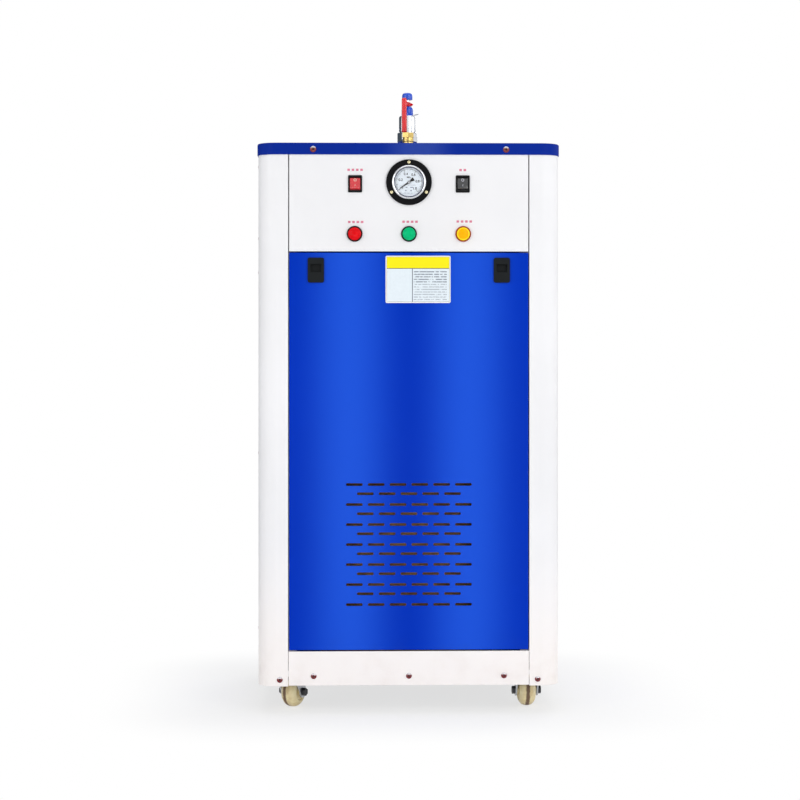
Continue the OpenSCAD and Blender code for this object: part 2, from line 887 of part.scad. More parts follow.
module valve_cap() {
  color(blue) valve_place() difference() {
    translate([0, 0, cap_z]) cylinder(h = cap_h, d = cap_d);
    translate([0, 0, cap_z - cut]) cylinder(h = spindle_head + cut, d = spindle_d);
  }
}

module valve_lever() {
  color(red) valve_place() rotate([0, 0, -lever_turn]) translate([0, 0, pin_z]) {
    for (side = [0, 1]) {
      mirror([side, 0, 0]) translate([cheek_in, -lever_front, -cheek_h / 2])
        cube([cheek_t, lever_front + cheek_back, cheek_h]);
    }
    translate([-cheek_in - cheek_t, -lever_front - lever_t / 2, -cheek_h / 2])
      cube([2 * cheek_in + 2 * cheek_t, lever_t, cheek_h]);
    translate([-lever_w / 2, -lever_front - lever_t / 2, -lever_drop])
      cube([lever_w, lever_t, lever_drop + lever_rise]);
    translate([-pin_l, pin_back, 0]) rotate([0, 90, 0]) cylinder(h = 2 * pin_l, d = lever_pin);
  }
}

module steam_outlet() {
  color(brass) cabinet() translate([0, outlet_y, 0]) difference() {
    union() {
      translate([0, 0, lid_top - outlet_tail]) cylinder(h = outlet_tail + cut, d = outlet_tail_d);
      translate([0, 0, lid_top]) cylinder(h = outlet_collar_h, d = outlet_d);
      translate([0, 0, lid_top + outlet_collar_h]) rotate([0, 0, outlet_turn])
        cylinder(h = outlet_hex_h, d = outlet_hex_d, $fn = 6);
    }
    translate([0, 0, lid_top - outlet_tail - cut])
      cylinder(h = outlet_tail + outlet_top - lid_top + 2 * cut, d = outlet_bore);
  }
}

// A fitting through a panel, clamped by its hexagon and a lock nut
module fitting(x, z, spigot_d, bore_d) {
  difference() {
    union() {
      translate([x, 0, z]) rotate([90, 0, 0]) cylinder(h = fitting_out, d = spigot_d);
      translate([x, 0, z]) rotate([90, 0, 0])
        cylinder(h = fitting_hex_t, d = fitting_hex_d, $fn = 6);
      forward(x, z, 0, fitting_tail) circle(d = pipe_d);
      translate([x, sheet + lock_nut_t, z]) rotate([90, 0, 0])
        cylinder(h = lock_nut_t, d = fitting_hex_d, $fn = 6);
    }
    forward(x, z, fitting_out + cut, fitting_tail + cut) circle(d = bore_d);
  }
}

module water_inlet() {
  color(brass) back_side() fitting(-fitting_x, fitting_z, pipe_d, pipe_bore);
}

module drain_outlet() {
  color(brass) back_side() fitting(fitting_x, fitting_z, pipe_d, pipe_bore);
}

module cable_gland() {
  color(black) back_side() fitting(gland_x, gland_z, gland_d, gland_bore);
}

module steam_vessel() {
  color(brown) cabinet() {
    translate([0, 0, base_top]) linear_extrude(vessel_top - base_top)
      round_rect(vessel_w, vessel_w, vessel_r);
    translate([valve_x, valve_y, base_top]) cylinder(h = riser_top - base_top, d = riser_d);
  }
}

// The places of the casters
module caster(side_x, side_y) {
  cabinet() translate([side_x * caster_x, side_y * caster_y, 0]) children();
}

module caster_plate() {
  difference() {
    union() {
      translate([-plate_w / 2, -plate_d / 2, base_z - plate_t]) cube([plate_w, plate_d, plate_t]);
      translate([0, 0, race_z]) cylinder(h = race_h, d = race_d);
    }
    translate([0, 0, race_z - cut]) cylinder(h = base_z - race_z + 2 * cut, r = race_bore_r);
  }
}

module caster_plates() {
  color(steel) {
    for (side_x = [-1, 1]) {
      for (side_y = [-1, 1]) {
        caster(side_x, side_y) caster_plate();
      }
    }
  }
}

// Outline of a fork cheek, with the swivel axis at the origin and the axle behind it
module fork_cheek() {
  translate([trail, axle_z]) circle(fork_end_r);
  polygon([
    [-fork_root, crown_end], [fork_root, crown_end],
    [trail + fork_end_r, axle_z], [trail - fork_end_r, axle_z]
  ]);
}

module fork() {
  for (side = [0, 1]) {
    mirror([side, 0, 0]) translate([cheek_x, 0, 0]) rotate([90, 0, 90])
      linear_extrude(fork_t) fork_cheek();
    mirror([side, 0, 0]) translate([cheek_x + fork_t, trail, axle_z]) rotate([0, 90, 0])
      cylinder(h = nut_t, d = nut_d, $fn = 6);
  }
  translate([0, 0, crown_z]) intersection() {
    cylinder(h = crown_t, d = crown_d + fork_t);
    translate([-cheek_x - fork_t, -crown_d, 0]) cube([fork_in + 2 * fork_t, 2 * crown_d, crown_t]);
  }
  translate([0, 0, crown_z]) cylinder(h = crown_t + swivel_pin_l, d = swivel_pin_d);
  translate([-cheek_x - fork_t, trail, axle_z]) rotate([0, 90, 0])
    cylinder(h = fork_in + 2 * fork_t, d = axle_d);
}

// A wheel: crowned tread, dished sides and a hub on the axle
module wheel() {
  half = [for (s = rim_shares) [s[0] * wheel_d / 2, s[1] * wheel_w / 2]];
  other = [for (i = [len(half) - 1 : -1 : 0]) [half[i][0], -half[i][1]]];
  hub_r = half[0][0];
  translate([0, trail, axle_z]) rotate([0, 90, 0]) rotate_extrude() polygon(concat(
    [[bore_r, -hub_l / 2], [bore_r, hub_l / 2], [hub_r, hub_l / 2]],
    half, other, [[hub_r, -hub_l / 2]]
  ));
}

module front_left_fork() {
  color(steel) caster(-1, -1) rotate([0, 0, turn_front_left]) fork();
}

module front_left_wheel() {
  color(cream) caster(-1, -1) rotate([0, 0, turn_front_left]) wheel();
}

module front_right_fork() {
  color(steel) caster(1, -1) rotate([0, 0, turn_front_right]) fork();
}

module front_right_wheel() {
  color(cream) caster(1, -1) rotate([0, 0, turn_front_right]) wheel();
}

module rear_left_fork() {
  color(steel) caster(-1, 1) rotate([0, 0, turn_rear_left]) fork();
}

module rear_left_wheel() {
  color(cream) caster(-1, 1) rotate([0, 0, turn_rear_left]) wheel();
}

module rear_right_fork() {
  color(steel) caster(1, 1) rotate([0, 0, turn_rear_right]) fork();
}

module rear_right_wheel() {
  color(cream) caster(1, 1) rotate([0, 0, turn_rear_right]) wheel();
}

base_pan();
front_posts();
rear_posts();
stop_flanges();
kick_plates();
upper_back_panel();
upper_side_panels();
left_panel();
right_panel();
back_panel();
top_lid();
instrument_panel();
front_door();
label_plate();
latch_housings();
left_latch_slide();
right_latch_slide();
gauge_flange();
gauge_case();
gauge_dial();
gauge_pointer();
gauge_glass();
switch_frames();
left_rocker();
right_rocker();
lamp_bezels();
amber_lamp_bezel();
red_lens();
green_lens();
amber_lens();
valve_body();
valve_bonnet();
valve_spindle();
valve_cap();
valve_lever();
steam_outlet();
water_inlet();
drain_outlet();
cable_gland();
steam_vessel();
caster_plates();
front_left_fork();
front_left_wheel();
front_right_fork();
front_right_wheel();
rear_left_fork();
rear_left_wheel();
rear_right_fork();
rear_right_wheel();
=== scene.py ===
import json
import math

import bmesh
import bpy
from mathutils import Matrix, Vector

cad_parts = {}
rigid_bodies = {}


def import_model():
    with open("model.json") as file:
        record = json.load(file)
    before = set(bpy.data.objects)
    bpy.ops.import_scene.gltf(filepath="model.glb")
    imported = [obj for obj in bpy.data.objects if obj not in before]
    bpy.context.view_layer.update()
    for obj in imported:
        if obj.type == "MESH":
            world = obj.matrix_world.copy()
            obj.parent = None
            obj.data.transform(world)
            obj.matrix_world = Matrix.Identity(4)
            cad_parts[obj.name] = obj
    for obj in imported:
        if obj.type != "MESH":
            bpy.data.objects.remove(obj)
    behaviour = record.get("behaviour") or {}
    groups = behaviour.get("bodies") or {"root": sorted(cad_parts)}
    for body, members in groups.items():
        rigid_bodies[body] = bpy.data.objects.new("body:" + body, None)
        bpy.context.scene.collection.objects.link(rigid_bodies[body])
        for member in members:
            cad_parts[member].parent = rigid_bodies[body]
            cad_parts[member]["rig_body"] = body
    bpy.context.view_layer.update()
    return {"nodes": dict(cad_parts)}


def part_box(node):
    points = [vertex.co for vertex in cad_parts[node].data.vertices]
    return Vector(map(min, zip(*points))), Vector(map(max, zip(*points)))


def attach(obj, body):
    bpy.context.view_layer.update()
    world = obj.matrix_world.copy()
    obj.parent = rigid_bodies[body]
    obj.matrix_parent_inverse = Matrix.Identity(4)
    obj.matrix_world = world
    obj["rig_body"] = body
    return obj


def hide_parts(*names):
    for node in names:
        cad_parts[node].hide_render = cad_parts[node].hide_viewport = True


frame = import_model()

# Sizes are in millimetres in the row's frame; each finished mesh is scaled to metres.
MM = 0.001


def reach(node, axis):
    """A solid's lowest and highest value along an axis."""
    return [round(corner["xyz".index(axis)] / MM, 3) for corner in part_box(node)]


def centre(node, axis):
    """The middle of a solid along an axis."""
    return sum(reach(node, axis)) / 2


FRONT, BACK = reach("front_door", "y")[0], reach("back_panel", "y")[1]
MIDDLE = (FRONT + BACK) / 2
HALF_W = reach("right_panel", "x")[1]
LID_TOP = reach("top_lid", "z")[1]
LID_OVERHANG = FRONT - reach("top_lid", "y")[0]
DOOR_TOP = reach("front_door", "z")[1]
ROW_SEAM = reach("instrument_panel", "z")[0] - DOOR_TOP
HALF_SIDE_PANEL = reach("right_panel", "y")[1] - MIDDLE
HALF_BACK_PANEL = reach("back_panel", "x")[1]
VALVE_X, VALVE_Y = centre("valve_cap", "x"), centre("valve_cap", "y")
OUTLET_Y = centre("steam_outlet", "y")
GAUGE_Z = centre("gauge_flange", "z")
SWITCH_X, SWITCH_Z = centre("right_rocker", "x"), centre("switch_frames", "z")
LAMP_X, LAMP_Z = centre("amber_lamp_bezel", "x"), centre("amber_lamp_bezel", "z")
LABEL_X, LABEL_Z = centre("label_plate", "x"), centre("label_plate", "z")
LEVER_TURN, LEVER_RISE = -15.0, 84.0
CASTERS = {
    # place, turn, and how far off the middle of the tread its line of grime runs
    "front_left": (-226.0, -188.0, -28.0, -0.25),
    "front_right": (226.0, -188.0, 3.0, 0.0),
    "rear_left": (-226.0, 178.0, -14.0, 0.1),
    "rear_right": (226.0, 178.0, 9.0, -0.15),
}
WHEEL_R = max(reach(name + "_wheel", "z")[1] for name in CASTERS) / 2
TRAIL = 20.0
PLATE_UNDER, BOLT_X, BOLT_Y = 87.0, 26.0, 34.0


def srgb(r, g, b):
    """A colour written in 0 to 255 screen values, as the linear colour of a socket."""
    def linear(v):
        v /= 255
        return v / 12.92 if v <= 0.04045 else ((v + 0.055) / 1.055) ** 2.4
    return (linear(r), linear(g), linear(b), 1.0)


class Value:
    """A shader socket that takes part in Python expressions."""

    def __init__(self, nodes, socket):
        self.nodes, self.socket = nodes, socket

    def math(self, operation, *values):
        return self.nodes.add("ShaderNodeMath", {"operation": operation}, dict(enumerate(values)))

    def __add__(self, other):
        return self.math("ADD", self, other)

    def __sub__(self, other):
        return self.math("SUBTRACT", self, other)

    def __rsub__(self, other):
        return self.math("SUBTRACT", other, self)

    def __mul__(self, other):
        return self.math("MULTIPLY", self, other)

    def __pow__(self, other):
        return self.math("POWER", self, other)

    def __gt__(self, other):
        return self.math("GREATER_THAN", self, other)

    def __lt__(self, other):
        return self.math("LESS_THAN", self, other)

    __radd__ = __add__
    __rmul__ = __mul__

    def cosine(self):
        return self.math("COSINE", self)

    def size(self):
        return self.math("ABSOLUTE", self)

    def at_least(self, low):
        return self.math("MAXIMUM", self, low)

    def ramp(self, low, high):
        """0 below low, 1 above high, smooth between."""
        return self.nodes.add(
            "ShaderNodeMapRange", {"interpolation_type": "SMOOTHSTEP"},
            {"Value": self, "From Min": low, "From Max": high})


class Nodes:
    """The node tree of a material or of the world, and the one method that adds a node to it."""

    def __init__(self, owner, output):
        owner.use_nodes = True
        self.tree = owner.node_tree
        self.output = self.tree.nodes[output]

    def add(self, kind, settings=None, sockets=None, out=0):
        node = self.tree.nodes.new(kind)
        for key, value in (settings or {}).items():
            setattr(node, key, value)
        for key, value in (sockets or {}).items():
            self.feed(node.inputs[key], value)
        return Value(self, node.outputs[out])

    def feed(self, socket, value):
        if isinstance(value, Value):
            self.tree.links.new(value.socket, socket)
        else:
            socket.default_value = value

    def surface(self, shader):
        """Shows a shader of the tree in place of its first one."""
        self.feed(self.output.inputs["Surface"], shader)

    def seen(self):
        """1 for what the camera sees, straight, mirrored or through glass."""
        ray = self.add("ShaderNodeLightPath", out="Is Camera Ray")
        for other in ("Is Glossy Ray", "Is Transmission Ray"):
            ray = ray.at_least(self.add("ShaderNodeLightPath", out=other))
        return ray


class Finish(Nodes):
    """A material, with what its finish is made from."""

    def __init__(self, name):
        self.material = bpy.data.materials.new(name)
        super().__init__(self.material, "Material Output")
        self.shader = self.tree.nodes["Principled BSDF"]
        self.place = self.add("ShaderNodeTexCoord", out="Object")

    def set(self, **sockets):
        for key, value in sockets.items():
            self.feed(self.shader.inputs[key.replace("_", " ")], value)
        return self

    def axis(self, letter):
        return self.add("ShaderNodeSeparateXYZ", None, {0: self.place}, out=letter)

    def noise(self, scale, detail=3.0, rough=0.5, stretch=None):
        where = self.place
        if stretch:
            where = self.add("ShaderNodeMapping", None, {"Vector": self.place, "Scale": stretch})
        return self.add("ShaderNodeTexNoise", None,
                        {"Vector": where, "Scale": scale, "Detail": detail, "Roughness": rough})

    def mix(self, factor, low, high):
        return self.add("ShaderNodeMix", {"data_type": "RGBA"}, {0: factor, 6: low, 7: high}, out=2)

    def bump(self, height, strength, distance):
        normal = self.add("ShaderNodeBump", None,
                          {"Height": height, "Strength": strength, "Distance": distance})
        return self.set(Normal=normal)


def shade(colour, amount):
    return tuple(min(1.0, c * amount) for c in colour[:3]) + (1.0,)


def powder_coat(name, colour, tint_and_sheen, grime, roughness=0.34, gloss=0.03):
    """Satin powder coat: fine orange peel, faint cloudiness, dust low down, and a colour change passed
    in, which is painted reflection on the blue and navy sheets.
    """
    f = Finish(name)
    cloud = f.noise(3.1, 4.0).ramp(0.3, 0.7)
    base = f.mix(cloud, shade(colour, 0.965), shade(colour, 1.02))
    base = f.mix(*tint_and_sheen(f, base))
    low = 1 - f.axis("Z").ramp(0.05, 0.17)
    dust = low * f.noise(17.0, 6.0, 0.62).ramp(0.42, 0.75)
    base = f.mix(dust * 0.3, base, grime)
    f.set(Base_Color=base, Roughness=roughness + 0.1 * f.noise(11.0, 5.0) + 0.12 * dust,
          Specular_IOR_Level=gloss)
    f.bump(f.noise(520.0, 2.0), 0.05, 0.0006)
    return f


def moulded(name, colour, roughness, grain=900.0, strength=0.18, spread=0.12, gloss=0.3):
    """Moulded plastic with a fine grain."""
    f = Finish(name)
    base = f.mix(f.noise(60.0, 4.0).ramp(0.3, 0.7), shade(colour, 1 - spread), shade(colour, 1 + spread))
    f.set(Base_Color=base, Roughness=roughness + 0.12 * f.noise(140.0, 3.0), Specular_IOR_Level=gloss)
    f.bump(f.noise(grain, 3.0), strength, 0.0004)
    return f


def plated(name, colour, roughness, streak=None, smudge=0.12):
    """Bare or plated metal with smudges, and drawn streaks where streak is given."""
    f = Finish(name)
    cloud = f.noise(70.0, 5.0).ramp(0.35, 0.7)
    f.set(Base_Color=f.mix(cloud, colour, shade(colour, 0.86)), Metallic=1.0,
          Roughness=roughness + smudge * f.noise(130.0, 6.0, 0.6))
    lines = f.noise(240.0, 4.0, stretch=streak) if streak else f.noise(420.0, 2.0)
    f.bump(lines, 0.06, 0.0004)
    return f


def lens_plastic(name, colour, glow, rim=None):
    """Translucent coloured lens that glows a little, paler near its edge where rim is given."""
    f = Finish(name)
    base = f.mix(f.noise(180.0, 3.0).ramp(0.35, 0.7), shade(colour, 0.88), colour)
    if rim:
        x, z = f.axis("X") - rim[0] * MM, f.axis("Z") - LAMP_Z * MM
        base = f.mix(((x * x + z * z) ** 0.5).ramp(0.0088, 0.0104), base, rim[1])
    f.set(Base_Color=base, Roughness=0.1 + 0.06 * f.noise(90.0, 3.0), Subsurface_Weight=0.25,
          Subsurface_Radius=(0.004, 0.004, 0.004), Emission_Color=base, Emission_Strength=glow,
          Specular_IOR_Level=0.07)
    f.bump(f.noise(500.0, 2.0), 0.03, 0.0003)
    return f


def painted_reflection_bands(f, base):
    """Painted reflections: broad soft light bands across the width of the blue sheets."""
    across = (f.axis("X").size() * (2 * math.pi / 0.2215)).cosine() * 0.5 + 0.5
    return across, srgb(28, 82, 214), base


def warm_foot(f, base):
    """The white sheets turn a little warmer toward the floor."""
    return 1 - f.axis("Z").ramp(0.05, 0.34), base, srgb(250, 245, 242)


def lid_painted_highlight(f, base):
    """A painted highlight: the lid's front skirt is paler a little to the right of its middle."""
    skirt = f.axis("Y") < FRONT * MM
    return skirt * (1 - (f.axis("X") - 0.018).size().ramp(0.012, 0.075)), base, srgb(44, 68, 158)


BLUE = srgb(0, 51, 184)
NAVY = srgb(12, 43, 146)
WHITE = srgb(240, 240, 242)

FINISHES = {
    "white_paint": powder_coat("white_powder_coat", WHITE, warm_foot, srgb(226, 214, 208), 0.36, 0.18),
    "blue_paint": powder_coat("blue_powder_coat", BLUE, painted_reflection_bands, srgb(40, 66, 130)),
    "navy_paint": powder_coat("navy_powder_coat", NAVY, lid_painted_highlight, srgb(40, 56, 110)),
    "galvanised": plated("galvanised_sheet", srgb(176, 178, 181), 0.42, streak=(1.0, 0.08, 1.0)),
    "black_plastic": moulded("black_moulding", srgb(7, 7, 9), 0.36, gloss=0.12),
    "charcoal_plastic": moulded("charcoal_moulding", srgb(16, 20, 22), 0.42, gloss=0.12),
    "gauge_black": moulded("gauge_enamel", srgb(9, 9, 12), 0.34, grain=600.0, strength=0.08, gloss=0.08),
    "chrome": plated("chrome_plate", srgb(222, 224, 228), 0.05, smudge=0.09),
    "dial_white": moulded("dial_card", srgb(222, 230, 238), 0.5, strength=0.05, spread=0.03),
    "pointer_black": moulded("pointer_paint", srgb(14, 14, 16), 0.45, strength=0.06),
    "red_plastic": moulded("red_rocker_moulding", srgb(206, 30, 42), 0.2,
                           strength=0.05, spread=0.06, gloss=1.0),
    "amber_plastic": moulded("amber_bezel_moulding", srgb(158, 48, 8), 0.26, strength=0.05, gloss=0.15),
    "red_lens": lens_plastic("red_lens", srgb(222, 16, 24), 0.10),
    "green_lens": lens_plastic("green_lens", srgb(0, 190, 122), 0.08),
    "amber_lens": lens_plastic("amber_lens", srgb(255, 180, 6), 0.15, (LAMP_X, srgb(255, 222, 40))),
    "valve_blue": moulded("valve_blue_enamel", srgb(34, 86, 214), 0.16,
                          grain=120.0, strength=0.02, spread=0.05, gloss=0.45),
    "valve_red": moulded("lever_red_dip", srgb(230, 14, 26), 0.2,
                         grain=120.0, strength=0.02, spread=0.05, gloss=0.6),
    "brass": plated("turned_brass", srgb(200, 174, 106), 0.24, streak=(1.0, 1.0, 14.0)),
    "zinc": plated("zinc_plate", srgb(186, 188, 192), 0.3),
}


def wheel_nylon():
    """Cream nylon with a brown line of grime round the tread."""
    f = Finish("wheel_nylon")
    base = f.mix(f.noise(90.0, 5.0).ramp(0.3, 0.75), srgb(246, 232, 186), srgb(226, 206, 152))
    across = f.add("ShaderNodeAttribute", {"attribute_name": "across"}, out="Fac").size()
    edge = f.noise(160.0, 5.0, 0.65)
    line = 1 - (across + (edge - 0.5) * 0.3).ramp(0.14, 0.30)
    stain = (1 - across.ramp(0.3, 0.9)) * f.noise(48.0, 6.0, 0.66).ramp(0.42, 0.7)
    base = f.mix(stain * 0.5, base, srgb(158, 124, 78))
    base = f.mix(line * 0.92, base, srgb(92, 60, 42))
    f.set(Base_Color=base, Roughness=0.36 + 0.25 * line, Subsurface_Weight=0.08,
          Subsurface_Radius=(0.003, 0.003, 0.002))
    f.bump(f.noise(260.0, 4.0), 0.12, 0.0005)
    return f


def label_sheet():
    """Printed plate: a bare rim, a yellow band and two pale fields, one with grey dashes."""
    f = Finish("label_sheet")
    half_w, half_h, line_w, band_low = 0.0585, 0.0420, 0.0006, 0.0203
    x, z = f.axis("X") - LABEL_X * MM, f.axis("Z") - LABEL_Z * MM
    wide, tall = x.size(), z.size()
    rim = ((wide > half_w) + (tall > half_h)).ramp(0.0, 0.5)
    line = ((wide > half_w - line_w) + (tall > half_h - line_w)).ramp(0.0, 0.5)
    band = z > band_low
    split = (x + 0.0105).size() < 0.0007
    pale = f.mix(f.noise(220.0, 4.0), srgb(232, 242, 248), srgb(222, 232, 239))
    rows = (z * (2 * math.pi / 0.0047)).cosine().ramp(0.1, 0.5)
    words = f.noise(330.0, 2.0, 0.5, (1.0, 1.0, 0.7)).ramp(0.36, 0.48)
    field = (x > -0.0080) * (x < 0.0535) * (z > -0.0385) * (z < 0.0178)
    base = f.mix(rows * words * field * (0.5 + 0.35 * (z > -0.006)), pale, srgb(84, 92, 112))
    base = f.mix(split, base, srgb(96, 102, 116))
    base = f.mix(band, base, srgb(252, 236, 8))
    base = f.mix((z - band_low).size() < line_w, base, srgb(70, 62, 28))
    base = f.mix(line, base, srgb(128, 130, 128))
    base = f.mix(rim, base, srgb(214, 213, 208))
    f.set(Base_Color=base, Metallic=0.75 * rim, Specular_IOR_Level=0.2,
          Roughness=0.34 + 0.14 * f.noise(150.0, 4.0))
    f.bump(f.noise(380.0, 3.0, stretch=(0.1, 1.0, 1.0)), 0.05, 0.0003)
    return f


def gauge_pane():
    """Clear pane with faint waves."""
    f = Finish("gauge_pane")
    f.set(Base_Color=(1.0, 1.0, 1.0, 1.0), Transmission_Weight=1.0, IOR=1.2,
          Roughness=0.01 + 0.03 * f.noise(80.0, 3.0))
    f.bump(f.noise(40.0, 2.0), 0.01, 0.0002)
    return f


def insulation():
    """Coarse brown wrap round the vessel."""
    f = Finish("vessel_insulation")
    weave = f.add("ShaderNodeTexVoronoi", None, {"Vector": f.place, "Scale": 190.0})
    base = f.mix(f.noise(24.0, 6.0).ramp(0.3, 0.7), srgb(214, 166, 92), srgb(176, 128, 66))
    f.set(Base_Color=base, Roughness=0.92 + 0.05 * weave)
    f.bump(weave, 0.5, 0.002)
    return f


def screw_steel():
    """Bright screw heads, with a brown painted reflection over the lower half of the dome and painted
    shade in the recess.
    """
    f = Finish("screw_steel")
    under = f.add("ShaderNodeAttribute", {"attribute_name": "under"}, out="Fac")
    screw_painted_reflection = (under + 0.5 * (f.noise(300.0, 4.0) - 0.5)).ramp(-0.75, -0.15)
    base = f.mix(screw_painted_reflection, srgb(196, 196, 200), srgb(112, 26, 32))
    # Painted shade: the recess is painted near black. The painted reflection also makes the metal less
    # metallic.
    f.set(Base_Color=f.mix(under.ramp(1.2, 1.6), base, srgb(26, 22, 14)), Metallic=0.85 - 0.7 * screw_painted_reflection,
          Roughness=0.18 + 0.2 * f.noise(260.0, 4.0))
    f.bump(f.noise(420.0, 2.0), 0.06, 0.0003)
    return f


FINISHES["nylon"] = wheel_nylon()
FINISHES["label_metal"] = label_sheet()
FINISHES["clear_glass"] = gauge_pane()
FINISHES["vessel_wrap"] = insulation()
DARK_NUT = plated("dark_nut", srgb(58, 58, 60), 0.34)
DULL_BRASS = plated("dull_brass", srgb(206, 196, 158), 0.12)
# The gauge seal's blue-grey is partly painted shade and painted reflection from the bezel.
SEAL_AND_PAINTED_SHADE = moulded("gauge_seal_and_painted_shade", srgb(66, 68, 104), 0.5, strength=0.05)
SCREW_STEEL = screw_steel()
PRINT_RED = moulded("caption_red", srgb(214, 126, 148), 0.5, strength=0.03, spread=0.05)
PRINT_BLACK = moulded("dial_print", srgb(22, 24, 30), 0.55, strength=0.02, spread=0.05)
PRINT_GREY = moulded("dial_fine_print", srgb(112, 122, 142), 0.55, strength=0.02, spread=0.05)
PRINT_PALE = moulded("switch_mark", srgb(236, 214, 196), 0.5, strength=0.02, spread=0.03)
PRINT_SILVER = moulded("dark_switch_mark", srgb(198, 198, 208), 0.5, strength=0.02, spread=0.03)
GLOSS_CHARCOAL = moulded("charcoal_rocker_moulding", srgb(24, 26, 30), 0.2, strength=0.05, gloss=1.0)


def scene_object(name, bm, *finishes):
    """An object at the origin from a bmesh in metres, which is used up."""
    mesh = bpy.data.meshes.new(name)
    bm.to_mesh(mesh)
    bm.free()
    for finish in finishes:
        mesh.materials.append(finish.material)
    obj = bpy.data.objects.new(name, mesh)
    bpy.context.scene.collection.objects.link(obj)
    return obj


# Folds that show as edges, in degrees, between plain faces and within an eased strip.
PLAIN_FOLD, STRIP_FOLD = 34.0, 50.0


def piece(name, bm, finish, body="cabinet", stands_for=(), second=None):
    """A finished piece from a bmesh in millimetres."""
    bmesh.ops.scale(bm, vec=(MM, MM, MM), verts=bm.verts)
    eased = bm.faces.layers.int.get("eased")
    for face in bm.faces:
        face.smooth = True
    for edge in bm.edges:
        strips = [f[eased] for f in edge.link_faces] if eased else [0]
        limit = STRIP_FOLD if min(strips, default=0) else PLAIN_FOLD
        edge.smooth = len(set(strips)) < 2 and edge.calc_face_angle(0.0) < math.radians(limit)
    obj = scene_object(name, bm, *([finish, second] if second else [finish]))
    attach(obj, body)
    if stands_for:
        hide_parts(*stands_for)


def move(bm, matrix):
    bmesh.ops.transform(bm, matrix=matrix, verts=bm.verts)
    return bm


def at(x, y, z):
    return Matrix.Translation((x, y, z))


def turn(degrees, axis):
    return Matrix.Rotation(math.radians(degrees), 4, axis)


FACE_FRONT = turn(90, "X")       # a shape built along +Z now points to -Y
FACE_BACK = turn(-90, "X")
FACE_SIDE = {-1: turn(-90, "Y"), 1: turn(90, "Y")}   # left and right


def ease(bm, width, segments=2, angle=30.0, pick=None):
    """Rounds the sharp edges of a shape."""
    edges = [e for e in bm.edges
             if len(e.link_faces) == 2 and e.calc_face_angle(0.0) > math.radians(angle)
             and (pick is None or pick(e))]
    if edges:
        eased = bm.faces.layers.int.get("eased") or bm.faces.layers.int.new("eased")
        strips = bmesh.ops.bevel(bm, geom=edges, offset=width, offset_type="OFFSET", affect="EDGES",
                                 segments=segments, profile=0.5, material=-1, clamp_overlap=False)
        for face in strips["faces"]:
            face[eased] = 1
    return bm


def cad_copy(node):
    """The solid's own triangles, merged into whole faces, in millimetres."""
    bm = bmesh.new()
    bm.from_mesh(frame["nodes"][node].data)
    bmesh.ops.scale(bm, vec=(1 / MM,) * 3, verts=bm.verts)
    bmesh.ops.remove_doubles(bm, verts=bm.verts, dist=0.001)
    bmesh.ops.dissolve_limit(bm, angle_limit=math.radians(0.4), verts=bm.verts, edges=bm.edges)
    return bm


def dress(node, slot, width, segments=2):
    """A solid with eased edges and its finish."""
    piece(node + "_dressed", ease(cad_copy(node), width, segments), FINISHES[slot],
          frame["nodes"][node]["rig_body"], (node,))


def lathe(points, steps=64):
    """A closed turned shape from (radius, height) points, round +Z."""
    bm = bmesh.new()
    verts = [bm.verts.new((r, 0.0, h)) for r, h in points]
    edges = [bm.edges.new(pair) for pair in zip(verts, verts[1:])]
    bmesh.ops.spin(bm, geom=verts + edges, cent=(0, 0, 0), axis=(0, 0, 1), angle=2 * math.pi,
                   steps=steps, use_merge=True)
    bmesh.ops.remove_doubles(bm, verts=bm.verts, dist=0.0005)
    bmesh.ops.recalc_face_normals(bm, faces=bm.faces)
    return bm


def block(x, y, z, width=0.0, segments=3):
    """A box from ranges in x, y and z, its edges rounded by width."""
    bm = bmesh.new()
    bmesh.ops.create_cube(bm, size=1.0)
    size = Vector((x[1] - x[0], y[1] - y[0], z[1] - z[0]))
    bmesh.ops.scale(bm, vec=size, verts=bm.verts)
    middle = ((x[0] + x[1]) / 2, (y[0] + y[1]) / 2, (z[0] + z[1]) / 2)
    bmesh.ops.translate(bm, vec=middle, verts=bm.verts)
    if width:
        ease(bm, width, segments)
    return bm


def prism(sides, radius, low, high, width=0.6, spin=0.0):
    """A nut or hexagon along +Z with eased edges."""
    bm = bmesh.new()
    bmesh.ops.create_circle(bm, cap_ends=True, segments=sides, radius=radius)
    face = bm.faces[:]
    out = bmesh.ops.extrude_face_region(bm, geom=face)
    top = [g for g in out["geom"] if isinstance(g, bmesh.types.BMVert)]
    bmesh.ops.translate(bm, vec=(0, 0, high - low), verts=top)
    bmesh.ops.recalc_face_normals(bm, faces=bm.faces)
    move(bm, at(0, 0, low) @ turn(spin, "Z"))
    return ease(bm, width, 2)


def join(*parts):
    """One bmesh out of several."""
    whole = parts[0]
    for part in parts[1:]:
        mesh = bpy.data.meshes.new("joining")
        part.to_mesh(mesh)
        part.free()
        whole.from_mesh(mesh)
        bpy.data.meshes.remove(mesh)
    return whole


